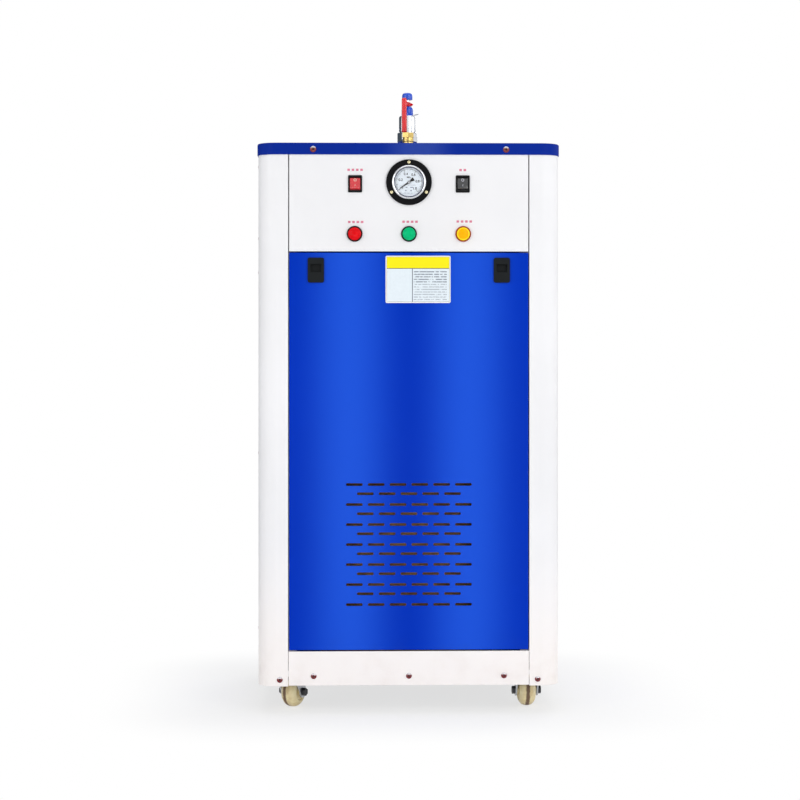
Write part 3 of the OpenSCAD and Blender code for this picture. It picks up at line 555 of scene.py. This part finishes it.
def screw(radius, height):
    """A domed screw head along +Z with a four pointed recess."""
    bm = bmesh.new()
    bmesh.ops.create_circle(bm, cap_ends=True, segments=16, radius=radius)
    face = bm.faces[:]
    grown = bmesh.ops.extrude_face_region(bm, geom=face)
    top = [g for g in grown["geom"] if isinstance(g, bmesh.types.BMFace)][0]
    bmesh.ops.translate(bm, vec=(0, 0, height * 0.4), verts=top.verts)
    for share, rise in ((0.88, 0.32), (0.66, 0.18), (0.46, 0.08)):
        bmesh.ops.inset_individual(bm, faces=[top], thickness=0.0001)
        middle = top.calc_center_median()
        bmesh.ops.translate(bm, vec=(0, 0, height * rise), verts=top.verts)
        for v in top.verts:
            flat = Vector((v.co.x - middle.x, v.co.y - middle.y, 0)).normalized() * radius * share
            v.co.x, v.co.y = flat.x, flat.y
    bmesh.ops.inset_individual(bm, faces=[top], thickness=0.0001)
    for i, v in enumerate(top.verts):
        reach = 0.42 if i % 4 == 0 else 0.16 if i % 4 == 2 else 0.26
        flat = Vector((v.co.x, v.co.y, 0)).normalized() * radius * reach
        v.co.x, v.co.y = flat.x, flat.y
    sunk = bmesh.ops.extrude_face_region(bm, geom=[top])
    floor = [g for g in sunk["geom"] if isinstance(g, bmesh.types.BMFace)][0]
    bmesh.ops.delete(bm, geom=[top], context="FACES_ONLY")
    bmesh.ops.translate(bm, vec=(0, 0, -height * 0.45), verts=floor.verts)
    bmesh.ops.recalc_face_normals(bm, faces=bm.faces)
    return bm


def screw_row(name, radius, rise, places):
    """Like screws as one piece.

    An attribute keeps how far under its screw's middle each point lies, or 2 in the recess.
    """
    heads = []
    for spot, facing in places:
        head = screw(radius, rise)
        under = head.verts.layers.float.new("under")
        for v in head.verts:
            v[under] = 2.0 * (math.hypot(v.co.x, v.co.y) < 0.43 * radius)
        move(head, at(*spot) @ facing)
        for v in head.verts:
            v[under] = v[under] or (spot[2] - v.co.z) / radius
        heads.append(head)
    piece(name, join(*heads), SCREW_STEEL)


# Cabinet: posts, panels, lid and base keep their solids' shapes with folded edges eased.
for sheet_node in ("front_posts", "rear_posts", "stop_flanges", "kick_plates", "upper_back_panel",
                   "upper_side_panels", "instrument_panel"):
    dress(sheet_node, "white_paint", 0.5)
for sheet_node in ("front_door", "left_panel", "right_panel", "back_panel"):
    dress(sheet_node, "blue_paint", 0.45)
dress("base_pan", "galvanised", 0.5)


HOLES_HALF_W, HOLES_HALF_D, SKIRT_FROM = 60.0, 100.0, 10.0


def lid_rim(edge):
    """True round the lid's top, away from the holes of the valve and the outlet."""
    return all(v.co.z > LID_TOP - 0.1
               and (abs(v.co.x) > HOLES_HALF_W or abs(v.co.y - VALVE_Y) > HOLES_HALF_D)
               for v in edge.verts)


def lid_hem(edge):
    """True along the lower edge of the lid's skirt."""
    return all(v.co.z < LID_TOP - SKIRT_FROM for v in edge.verts)


lid = cad_copy("top_lid")
ease(lid, 3.0, 4, 60.0, lid_rim)
ease(lid, 0.4, 2, 60.0, lid_hem)
piece("lid_dressed", lid, FINISHES["navy_paint"], stands_for=("top_lid",))

dress("label_plate", "label_metal", 0.3)
dress("latch_housings", "charcoal_plastic", 0.55, 3)
dress("left_latch_slide", "charcoal_plastic", 0.3)
dress("right_latch_slide", "charcoal_plastic", 0.3)
dress("steam_vessel", "vessel_wrap", 3.0, 3)

# Painted shade: dark strips set back in the seams over the side panels and the back panel keep light
# out, so the seams show dark.
STRIP_NEAR, STRIP_FAR, STRIP_BITE = 4.0, 14.0, 0.3
seam = (DOOR_TOP - STRIP_BITE, DOOR_TOP + ROW_SEAM + STRIP_BITE)
along = (MIDDLE - HALF_SIDE_PANEL, MIDDLE + HALF_SIDE_PANEL)
strips = [block((HALF_W - STRIP_FAR, HALF_W - STRIP_NEAR), along, seam),
          block((STRIP_NEAR - HALF_W, STRIP_FAR - HALF_W), along, seam),
          block((-HALF_BACK_PANEL, HALF_BACK_PANEL), (BACK - STRIP_FAR, BACK - STRIP_NEAR), seam)]
piece("seam_shade_strips", join(*strips), FINISHES["black_plastic"])

# Screws that hold the sheets.
LID_SCREW_Z, KICK_SCREW_Z, POST_SCREW_Z = 1047.6, 68.7, 62.0
KICK_SCREW_XS, POST_SCREW_XS = (-177.0, 0.0, 177.0), (-240.0, 240.0)
PANEL_ROWS = (150.0, 480.0, 820.0, 885.0, 1020.0)
SIDE_SCREW_SINK = 0.6            # the heads on the sides stay within the lid's overhang
screw_row("lid_screws", 5.8, 2.4,
          [((x, FRONT - LID_OVERHANG, LID_SCREW_Z), FACE_FRONT) for x in (-178.0, 181.0)]
          + [((x, BACK + LID_OVERHANG, LID_SCREW_Z), FACE_BACK) for x in (-181.0, 178.0)])
screw_row("kick_plate_screws", 5.4, 2.6,
          [((x, FRONT, KICK_SCREW_Z), FACE_FRONT) for x in KICK_SCREW_XS]
          + [((x, BACK, KICK_SCREW_Z), FACE_BACK) for x in KICK_SCREW_XS]
          + [((side * (HALF_W - SIDE_SCREW_SINK), MIDDLE + y, KICK_SCREW_Z), FACE_SIDE[side])
             for side in (-1, 1) for y in (-140.0, 140.0)])
screw_row("post_screws", 5.4, 2.6,
          [((x, FRONT, POST_SCREW_Z), FACE_FRONT) for x in POST_SCREW_XS]
          + [((x, BACK, POST_SCREW_Z), FACE_BACK) for x in POST_SCREW_XS])
screw_row("panel_screws", 4.6, 1.8,
          [((side * HALF_W, MIDDLE + y, z), FACE_SIDE[side])
           for z in PANEL_ROWS for side in (-1, 1) for y in (-168.0, 168.0)]
          + [((x, BACK, z), FACE_BACK) for z in PANEL_ROWS for x in (-208.0, 208.0)])

# Pressure gauge.
to_gauge = at(0, FRONT, GAUGE_Z) @ FACE_FRONT
dress("gauge_flange", "gauge_black", 0.8, 3)
case = lathe([(0.0, -30.0), (28.0, -30.0), (30.4, -28.5), (30.4, 4.0), (32.0, 4.2), (32.0, 7.6),
              (31.5, 9.4), (30.4, 10.6), (29.4, 11.0), (28.6, 10.7), (28.0, 9.8), (27.6, 8.6),
              (27.5, 2.0), (0.0, 2.0)], 96)
pin = lathe([(0.0, 1.8), (1.0, 1.8), (1.0, 6.2), (1.65, 6.25), (1.65, 6.7), (1.3, 7.0), (0.0, 7.0)], 24)
piece("gauge_case_turned", move(join(case, pin), to_gauge), FINISHES["chrome"],
      stands_for=("gauge_case",))
dress("gauge_dial", "dial_white", 0.1)
# The seal ring behind the pane is real; its dark blue-grey is painted shade and painted reflection of
# the bezel's inner wall.
seal = lathe([(26.5, 7.9), (27.4, 7.9), (27.4, 8.4), (26.8, 8.4), (26.5, 8.2), (26.5, 7.9)], 96)
piece("gauge_seal", move(seal, to_gauge), SEAL_AND_PAINTED_SHADE)
dress("gauge_pointer", "pointer_black", 0.12)
dress("gauge_glass", "clear_glass", 0.2)
FLANGE_FACE, FLANGE_SCREW_R = FRONT - reach("gauge_flange", "y")[0], 37.25
heads = []
for angle in (math.radians(90.0), math.radians(210.0), math.radians(330.0)):
    spot = at(FLANGE_SCREW_R * math.cos(angle), FLANGE_SCREW_R * math.sin(angle), FLANGE_FACE)
    heads.append(move(screw(3.2, 1.9), to_gauge @ spot))
piece("gauge_flange_screws", join(*heads), DULL_BRASS)

DIAL_FACE, PRINT_T = FRONT - reach("gauge_dial", "y")[0], 0.06
DIAL_PRINT = (DIAL_FACE, DIAL_FACE + PRINT_T)
SCALE_OUT = 24.6
ZERO, SWEEP = 217.5, 265.0       # degrees: where the scale starts, and how far it runs


def dial_mark(angle, inner, outer, wide):
    """One printed line of the scale."""
    return move(block((inner, outer), (-wide / 2, wide / 2), DIAL_PRINT), turn(angle, "Z"))


marks = []
for i in range(51):
    angle = ZERO - SWEEP * i / 50
    if i % 10 == 0:
        marks.append(dial_mark(angle, 20.6, SCALE_OUT, 0.75))
    elif i % 5 == 0:
        marks.append(dial_mark(angle, 21.6, SCALE_OUT, 0.5))
    else:
        marks.append(dial_mark(angle, 22.8, SCALE_OUT, 0.28))
for i in range(90):
    marks.append(dial_mark(ZERO - SWEEP * (i + 0.5) / 90, SCALE_OUT - 0.1, SCALE_OUT + 0.3, 1.4))


def lettering(words, size, x, y):
    """Flat print, centred on a point of the dial."""
    curve = bpy.data.curves.new("print_" + words.replace(".", "_"), "FONT")
    curve.body, curve.size, curve.align_x, curve.align_y = words, size, "CENTER", "CENTER"
    curve.extrude, curve.offset = PRINT_T / 2, 0.14
    text = bpy.data.objects.new(curve.name, curve)
    bpy.context.scene.collection.objects.link(text)
    bpy.context.view_layer.update()
    mesh = bpy.data.meshes.new_from_object(text.evaluated_get(bpy.context.evaluated_depsgraph_get()))
    bm = bmesh.new()
    bm.from_mesh(mesh)
    bmesh.ops.remove_doubles(bm, verts=bm.verts, dist=0.0005)
    bmesh.ops.recalc_face_normals(bm, faces=bm.faces)
    bpy.data.objects.remove(text)
    bpy.data.curves.remove(curve)
    bpy.data.meshes.remove(mesh)
    return move(bm, at(x, y, DIAL_FACE + PRINT_T / 2))


for i, words in enumerate(("0", "0.2", "0.4", "0.6", "0.8", "1.0")):
    angle = math.radians(ZERO - SWEEP * i / 5)
    marks.append(lettering(words, 6.4, 16.0 * math.cos(angle), 16.2 * math.sin(angle)))
marks.append(lettering("MPa", 4.0, -0.5, 9.0))
fine = [block((x0, x1), (y0, y1), DIAL_PRINT) for x0, x1, y0, y1 in (
    (-2.8, 12.2, -5.6, -5.1), (-6.2, -2.8, -10.2, -8.8), (2.2, 7.6, -10.4, -8.8),
    (11.6, 13.8, -11.0, -9.2), (-7.0, -4.6, -16.4, -14.4), (2.6, 5.2, -16.8, -14.4),
    (-9.4, -4.8, -20.6, -19.8), (-3.6, 2.0, -20.8, -20.0), (3.0, 6.8, -20.6, -19.8))]
piece("dial_fine_print", move(join(*fine), to_gauge), PRINT_GREY)
piece("dial_scale", move(join(*marks), to_gauge), PRINT_BLACK)

# Rocker switches.
dress("switch_frames", "black_plastic", 0.5, 3)
ROCKER_TILT, ROCKER_ROUND = 22.0, 4.8
RING_R, RING_HOLE, RING_T = 2.7, 0.68, 0.08
ROCKERS = (("left", -SWITCH_X, "red_plastic", FINISHES["red_plastic"], PRINT_PALE),
           ("right", SWITCH_X, "charcoal_plastic", GLOSS_CHARCOAL, PRINT_SILVER))
for side, x, slot, finish, ink in ROCKERS:
    rocker = cad_copy(side + "_rocker")
    lowest = min(v.co.y for v in rocker.verts)
    ease(rocker, ROCKER_ROUND, 6, 30.0, lambda e: all(v.co.y < lowest + 0.3 for v in e.verts)
         and abs(e.verts[0].co.x - e.verts[1].co.x) > 10.0)
    ease(rocker, 0.4, 2, 40.0, lambda e: all(v.co.y < FRONT + 2.0 for v in e.verts))
    piece(side + "_rocker_dressed", rocker, finish, side + "_rocker_body", (side + "_rocker",))
    ring = bmesh.new()
    bmesh.ops.create_circle(ring, segments=28, radius=RING_R)
    outline = ring.edges[:]
    grown = bmesh.ops.extrude_edge_only(ring, edges=outline)
    inner = [g for g in grown["geom"] if isinstance(g, bmesh.types.BMVert)]
    bmesh.ops.scale(ring, vec=(RING_HOLE, RING_HOLE, 1.0), verts=inner)
    bmesh.ops.solidify(ring, geom=ring.faces[:], thickness=RING_T)
    bmesh.ops.recalc_face_normals(ring, faces=ring.faces)
    move(ring, at(x, FRONT - 2.72, SWITCH_Z + 7.2) @ FACE_FRONT)
    bar = block((-0.35, 0.35), (-2.1, 2.1), (0.0, 0.07))
    move(bar, at(x, FRONT - 2.7, SWITCH_Z) @ turn(-ROCKER_TILT, "X") @ at(0, 0, -3.0) @ FACE_FRONT)
    piece(side + "_rocker_marks", join(ring, bar), ink, side + "_rocker_body")

# Pilot lamps.
BEZEL = [(0.0, -30.0), (11.0, -30.0), (11.0, 0.0), (14.7, 0.0), (14.7, 2.4), (14.3, 3.6),
         (13.6, 4.3), (13.0, 4.5), (12.4, 4.3), (12.3, 3.9), (12.3, 2.0), (0.0, 2.0)]
LENS = [(0.0, 2.0), (11.9, 2.0), (12.0, 2.4), (12.0, 6.2), (11.7, 7.3), (11.0, 8.0), (10.6, 8.1),
        (10.4, 8.5), (9.0, 9.7), (7.0, 10.8), (4.6, 11.6), (2.2, 11.95), (0.0, 12.0)]


def lamp(x):
    return at(x, FRONT, LAMP_Z) @ FACE_FRONT


piece("lamp_bezels_turned", join(*[move(lathe(BEZEL), lamp(x)) for x in (-LAMP_X, 0.0)]),
      FINISHES["black_plastic"], stands_for=("lamp_bezels",))
piece("amber_lamp_bezel_turned", move(lathe(BEZEL), lamp(LAMP_X)),
      FINISHES["amber_plastic"], stands_for=("amber_lamp_bezel",))
for slot, x in (("red_lens", -LAMP_X), ("green_lens", 0.0), ("amber_lens", LAMP_X)):
    piece(slot + "_turned", move(lathe(LENS), lamp(x)), FINISHES[slot], stands_for=(slot,))

# Red caption dashes above the switches and lamps.
DASH_PITCH, DASH_HALF_W, DASH_HALF_H = 8.0, 2.4, 2.1
CAPTION_Z, CAPTION_SHIFT = 1009.6, 2.0
CAPTIONS = ((-SWITCH_X, CAPTION_Z, 4), (SWITCH_X, CAPTION_Z, 2), (CAPTION_SHIFT - LAMP_X, 912.6, 4),
            (CAPTION_SHIFT, 913.2, 4), (CAPTION_SHIFT + LAMP_X, 913.8, 4))
dashes = []
for x, z, count in CAPTIONS:
    for i in range(count):
        middle = x + (i - (count - 1) / 2) * DASH_PITCH
        dashes.append(block((middle - DASH_HALF_W, middle + DASH_HALF_W), (FRONT - 0.08, FRONT + 0.02),
                            (z - DASH_HALF_H, z + DASH_HALF_H)))
piece("caption_dashes", join(*dashes), PRINT_RED)

# Safety valve.
to_valve = at(VALVE_X, VALVE_Y, LID_TOP)
neck = lathe([(0.0, 0.0), (14.6, 0.0), (15.0, 0.5), (15.0, 8.2), (14.2, 9.4), (13.6, 10.0), (0.0, 10.0)])
hexagon = prism(6, 19.5, 10.0, 29.5, 2.0, 30.0)
barrel = lathe([(0.0, 29.5), (15.0, 29.5), (15.0, 31.0), (16.0, 31.8), (16.0, 35.0), (15.6, 35.4),
                (15.6, 36.2), (16.0, 36.6), (16.0, 57.6), (15.5, 59.4), (14.6, 60.8), (13.4, 61.5),
                (0.0, 61.5)])
piece("valve_body_turned", move(join(neck, hexagon, barrel), to_valve), FINISHES["chrome"],
      stands_for=("valve_body",))
bonnet = lathe([(0.0, 61.5), (10.6, 61.5), (11.0, 62.2), (11.0, 72.2), (10.8, 74.2), (10.2, 76.0),
                (9.0, 77.9), (7.4, 79.2), (5.6, 79.9), (3.6, 80.0), (0.0, 80.0)])
lug = move(block((-4.3, 4.3), (5.0, 11.0), (74.0, 87.0), 1.2), turn(LEVER_TURN, "Z"))
piece("valve_bonnet_turned", move(join(bonnet, lug), to_valve), FINISHES["valve_blue"],
      stands_for=("valve_bonnet",))
dress("valve_spindle", "chrome", 0.4)
cap = lathe([(0.0, 92.0), (8.8, 92.0), (9.8, 92.8), (10.0, 94.0), (10.0, 99.6), (9.5, 102.2),
             (8.4, 104.1), (6.6, 105.2), (4.2, 105.5), (0.0, 105.5)])
piece("valve_cap_turned", move(cap, to_valve), FINISHES["valve_blue"],
      stands_for=("valve_cap",))
to_lever = to_valve @ turn(LEVER_TURN, "Z") @ at(0, 0, LEVER_RISE)
strip = block((-4.75, 4.75), (-28.5, -22.5), (-56.5, 9.5), 2.9, 7)
CHEEK_NEAR, CHEEK_FAR, CHEEK_CLOSE, CHEEK_DROP = -25.0, 11.0, 2.4, 3.0
cheeks = [block((x - 1.2, x + 1.2), (CHEEK_NEAR, CHEEK_FAR), (-3.0, 3.4), 0.9) for x in (-5.8, 5.8)]
for cheek, side in zip(cheeks, (-1, 1)):
    # The cheeks close in on the strip in front and grow deeper there.
    for v in cheek.verts:
        along = (CHEEK_FAR - v.co.y) / (CHEEK_FAR - CHEEK_NEAR)
        v.co.x -= side * CHEEK_CLOSE * along
        if v.co.z < 0.0:
            v.co.z -= CHEEK_DROP * along
pivot = move(lathe([(0.0, -9.4), (1.1, -9.4), (1.5, -9.0), (1.5, 9.0), (1.1, 9.4), (0.0, 9.4)], 32),
             at(0, 8.0, 0) @ turn(90, "Y"))
piece("valve_lever_bent", move(join(strip, *cheeks, pivot), to_lever), FINISHES["valve_red"],
      frame["nodes"]["valve_lever"]["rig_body"], ("valve_lever",))
WIRE_R, WIRE_LOOP_R = 0.45, 6.0
wire = bmesh.new()
bmesh.ops.create_circle(wire, segments=8, radius=WIRE_R)
bmesh.ops.translate(wire, vec=(WIRE_LOOP_R, 0, 0), verts=wire.verts)
bmesh.ops.rotate(wire, cent=(WIRE_LOOP_R, 0, 0), matrix=Matrix.Rotation(math.pi / 2, 3, "X"),
                 verts=wire.verts)
bmesh.ops.spin(wire, geom=wire.verts[:] + wire.edges[:], cent=(0, 0, 0), axis=(0, 0, 1),
               angle=2 * math.pi, steps=40, use_merge=True)
bmesh.ops.remove_doubles(wire, verts=wire.verts, dist=0.0005)
bmesh.ops.recalc_face_normals(wire, faces=wire.faces)
piece("seal_wire", move(wire, to_valve @ at(15.2, -3.0, 63.4) @ turn(-14, "Y")),
      FINISHES["zinc"])

# Steam outlet and the fittings on the back.
dress("steam_outlet", "brass", 0.18)
beads = [lathe([(9.8, low), (10.4, low + 0.2), (10.8, low + 1.2), (10.8, low + 3.6),
                (10.4, low + 4.8), (9.8, low + 5.0), (9.8, low)]) for low in (0.4, 7.4)]
piece("outlet_beads", move(join(*beads), at(0, OUTLET_Y, LID_TOP)), FINISHES["brass"])
dress("water_inlet", "brass", 0.6)
dress("drain_outlet", "brass", 0.6)
dress("cable_gland", "black_plastic", 0.2)

# Casters.
RIM = [(4.05, 18.0), (8.2, 18.0), (8.7, 17.4), (8.7, 15.2), (11.0, 14.5), (15.4, 13.8), (16.2, 14.9),
       (16.8, 15.8), (17.6, 16.0), (20.3, 14.9), (23.2, 13.1), (25.5, 11.0), (27.3, 8.6), (28.4, 5.3),
       (28.9, 2.6), (WHEEL_R, 0.0)]
TREAD_HALF_W, TREAD_FROM = 16.0, 18.5
NUT_OUT, NUT_BELOW = 21.6, 50.0  # the axle's nuts lie past these in the fork's own frame


def wheel(line):
    """A crowned wheel round +X; an attribute keeps how far from its line of grime each point lies."""
    other = [(r, -h) for r, h in reversed(RIM[:-1])]
    bm = lathe(RIM + other + [RIM[0]], 72)
    across = bm.verts.layers.float.new("across")
    for v in bm.verts:
        outside = math.hypot(v.co.x, v.co.y) > TREAD_FROM
        v[across] = v.co.z / TREAD_HALF_W - line if outside else 1.0
    return move(bm, turn(90, "Y"))


dress("caster_plates", "zinc", 0.5)
for name, (x, y, yaw, line) in CASTERS.items():
    stand = at(x, y, 0) @ turn(yaw, "Z")
    fork = cad_copy(name + "_fork")
    back = stand.inverted()
    for face in fork.faces:
        where = back @ face.calc_center_median()
        face.material_index = int(abs(where.x) > NUT_OUT and where.z < NUT_BELOW)
    piece(name + "_fork_dressed", fork, FINISHES["zinc"], name + "_fork_body", (name + "_fork",),
          second=DARK_NUT)
    piece(name + "_wheel_turned", move(wheel(line), stand @ at(0, TRAIL, WHEEL_R)), FINISHES["nylon"],
          name + "_wheel_body", (name + "_wheel",))
    bolts = [move(prism(6, 6.0, 0.0, 4.0, 0.4), at(x + px, y + py, PLATE_UNDER) @ turn(180, "X"))
             for px in (-BOLT_X, BOLT_X) for py in (-BOLT_Y, BOLT_Y)]
    piece(name + "_plate_bolts", join(*bolts), FINISHES["zinc"])


# Floor, light and camera.
def stage_material():
    """Pale floor that fades to the white of the background away from the part."""
    f = Finish("studio_floor")
    half_w, half_d, fade = 0.27, 0.23, 0.34
    x = (f.axis("X").size() - half_w).at_least(0.0)
    y = (f.axis("Y").size() - half_d).at_least(0.0)
    far = ((x * x + y * y) ** 0.5).ramp(0.0, fade)
    white = f.add("ShaderNodeEmission", None, {"Color": (1, 1, 1, 1), "Strength": 1.0})
    f.set(Base_Color=(0.9, 0.9, 0.9, 1.0), Roughness=0.7)
    f.surface(f.add("ShaderNodeMixShader", None, {
        0: f.seen() * (0.65 + 0.35 * far), 1: Value(f, f.shader.outputs[0]), 2: white}))
    return f


ground = bmesh.new()
bmesh.ops.create_grid(ground, x_segments=1, y_segments=1, size=40.0)
floor_object = scene_object("floor", ground, stage_material())


def soft_box(name, spot, aim, size, watts):
    """A soft studio lamp."""
    light = bpy.data.lights.new(name, "AREA")
    light.shape, light.size, light.size_y, light.energy = "RECTANGLE", size[0], size[1], watts
    obj = bpy.data.objects.new(name, light)
    bpy.context.scene.collection.objects.link(obj)
    obj.location = spot
    obj.rotation_euler = (Vector(aim) - Vector(spot)).to_track_quat("-Z", "Y").to_euler()


soft_box("key_right", (2.4, -3.2, 2.2), (0, 0, 0.6), (1.8, 2.2), 48)
soft_box("fill_left", (-2.8, -2.8, 1.6), (0, 0, 0.6), (1.6, 2.4), 36)
soft_box("top", (0.0, 0.4, 3.4), (0, 0, 0.6), (2.4, 2.4), 25)
soft_box("back_rim", (1.6, 3.0, 2.4), (0, 0, 0.6), (2.0, 2.0), 30)
soft_box("low_front", (0.0, -2.6, 0.35), (0, 0, 0.2), (1.6, 0.5), 9)
soft_box("side_right", (3.2, -0.1, 1.1), (0, 0, 0.55), (2.0, 2.4), 22)
soft_box("side_left", (-3.2, -0.1, 1.1), (0, 0, 0.55), (2.0, 2.4), 10)


def dark_card(name, azimuth, wide, grey):
    """A dark studio card beside the part, which only bright metal shows."""
    f = Finish(name)
    f.surface(f.add("ShaderNodeEmission", None, {"Color": grey, "Strength": 1.0}))
    card = bmesh.new()
    bmesh.ops.create_grid(card, x_segments=1, y_segments=1, size=0.5)
    bmesh.ops.scale(card, vec=(wide, 2.6, 1.0), verts=card.verts)
    move(card, turn(azimuth, "Z") @ at(0, -1.4, 1.0) @ turn(90, "X"))
    obj = scene_object(name, card, f)
    obj.visible_camera = obj.visible_diffuse = obj.visible_shadow = False
    obj.visible_transmission = obj.visible_volume_scatter = False


dark_card("left_card", -124.0, 2.0, srgb(82, 92, 100))
dark_card("right_card", 138.0, 0.7, srgb(74, 74, 84))

world = bpy.data.worlds.new("studio")
bpy.context.scene.world = world
sky = Nodes(world, "World Output")
room_light = sky.tree.nodes["Background"]
sky.feed(room_light.inputs["Color"], (1, 1, 1, 1))
sky.feed(room_light.inputs["Strength"], 0.33)
backdrop = sky.add("ShaderNodeBackground", None, {"Color": (1, 1, 1, 1), "Strength": 1.0})
sky.surface(sky.add("ShaderNodeMixShader", None,
                    {0: sky.seen(), 1: Value(sky, room_light.outputs[0]), 2: backdrop}))

CAMERA_AZIMUTH = math.radians(-1.4)
CAMERA_DISTANCE = 3.8
FRAME_WIDTH = 1.488
FRAME_MIDDLE = Vector((-0.0166, FRONT * MM, 0.5816))
CAMERA_HEIGHT = 0.70
SENSOR_WIDTH = 36.0
view = bpy.data.cameras.new("photo_view")
view.sensor_width = SENSOR_WIDTH
view.lens = SENSOR_WIDTH * CAMERA_DISTANCE / FRAME_WIDTH
view.shift_y = (FRAME_MIDDLE.z - CAMERA_HEIGHT) / FRAME_WIDTH
camera = bpy.data.objects.new("photo_view", view)
bpy.context.scene.collection.objects.link(camera)
camera.location = (FRAME_MIDDLE.x + CAMERA_DISTANCE * math.sin(CAMERA_AZIMUTH),
                   FRAME_MIDDLE.y - CAMERA_DISTANCE * math.cos(CAMERA_AZIMUTH), CAMERA_HEIGHT)
camera.rotation_euler = (math.pi / 2, 0, CAMERA_AZIMUTH)
bpy.context.scene.camera = camera
bpy.context.scene.view_settings.view_transform = "Standard"
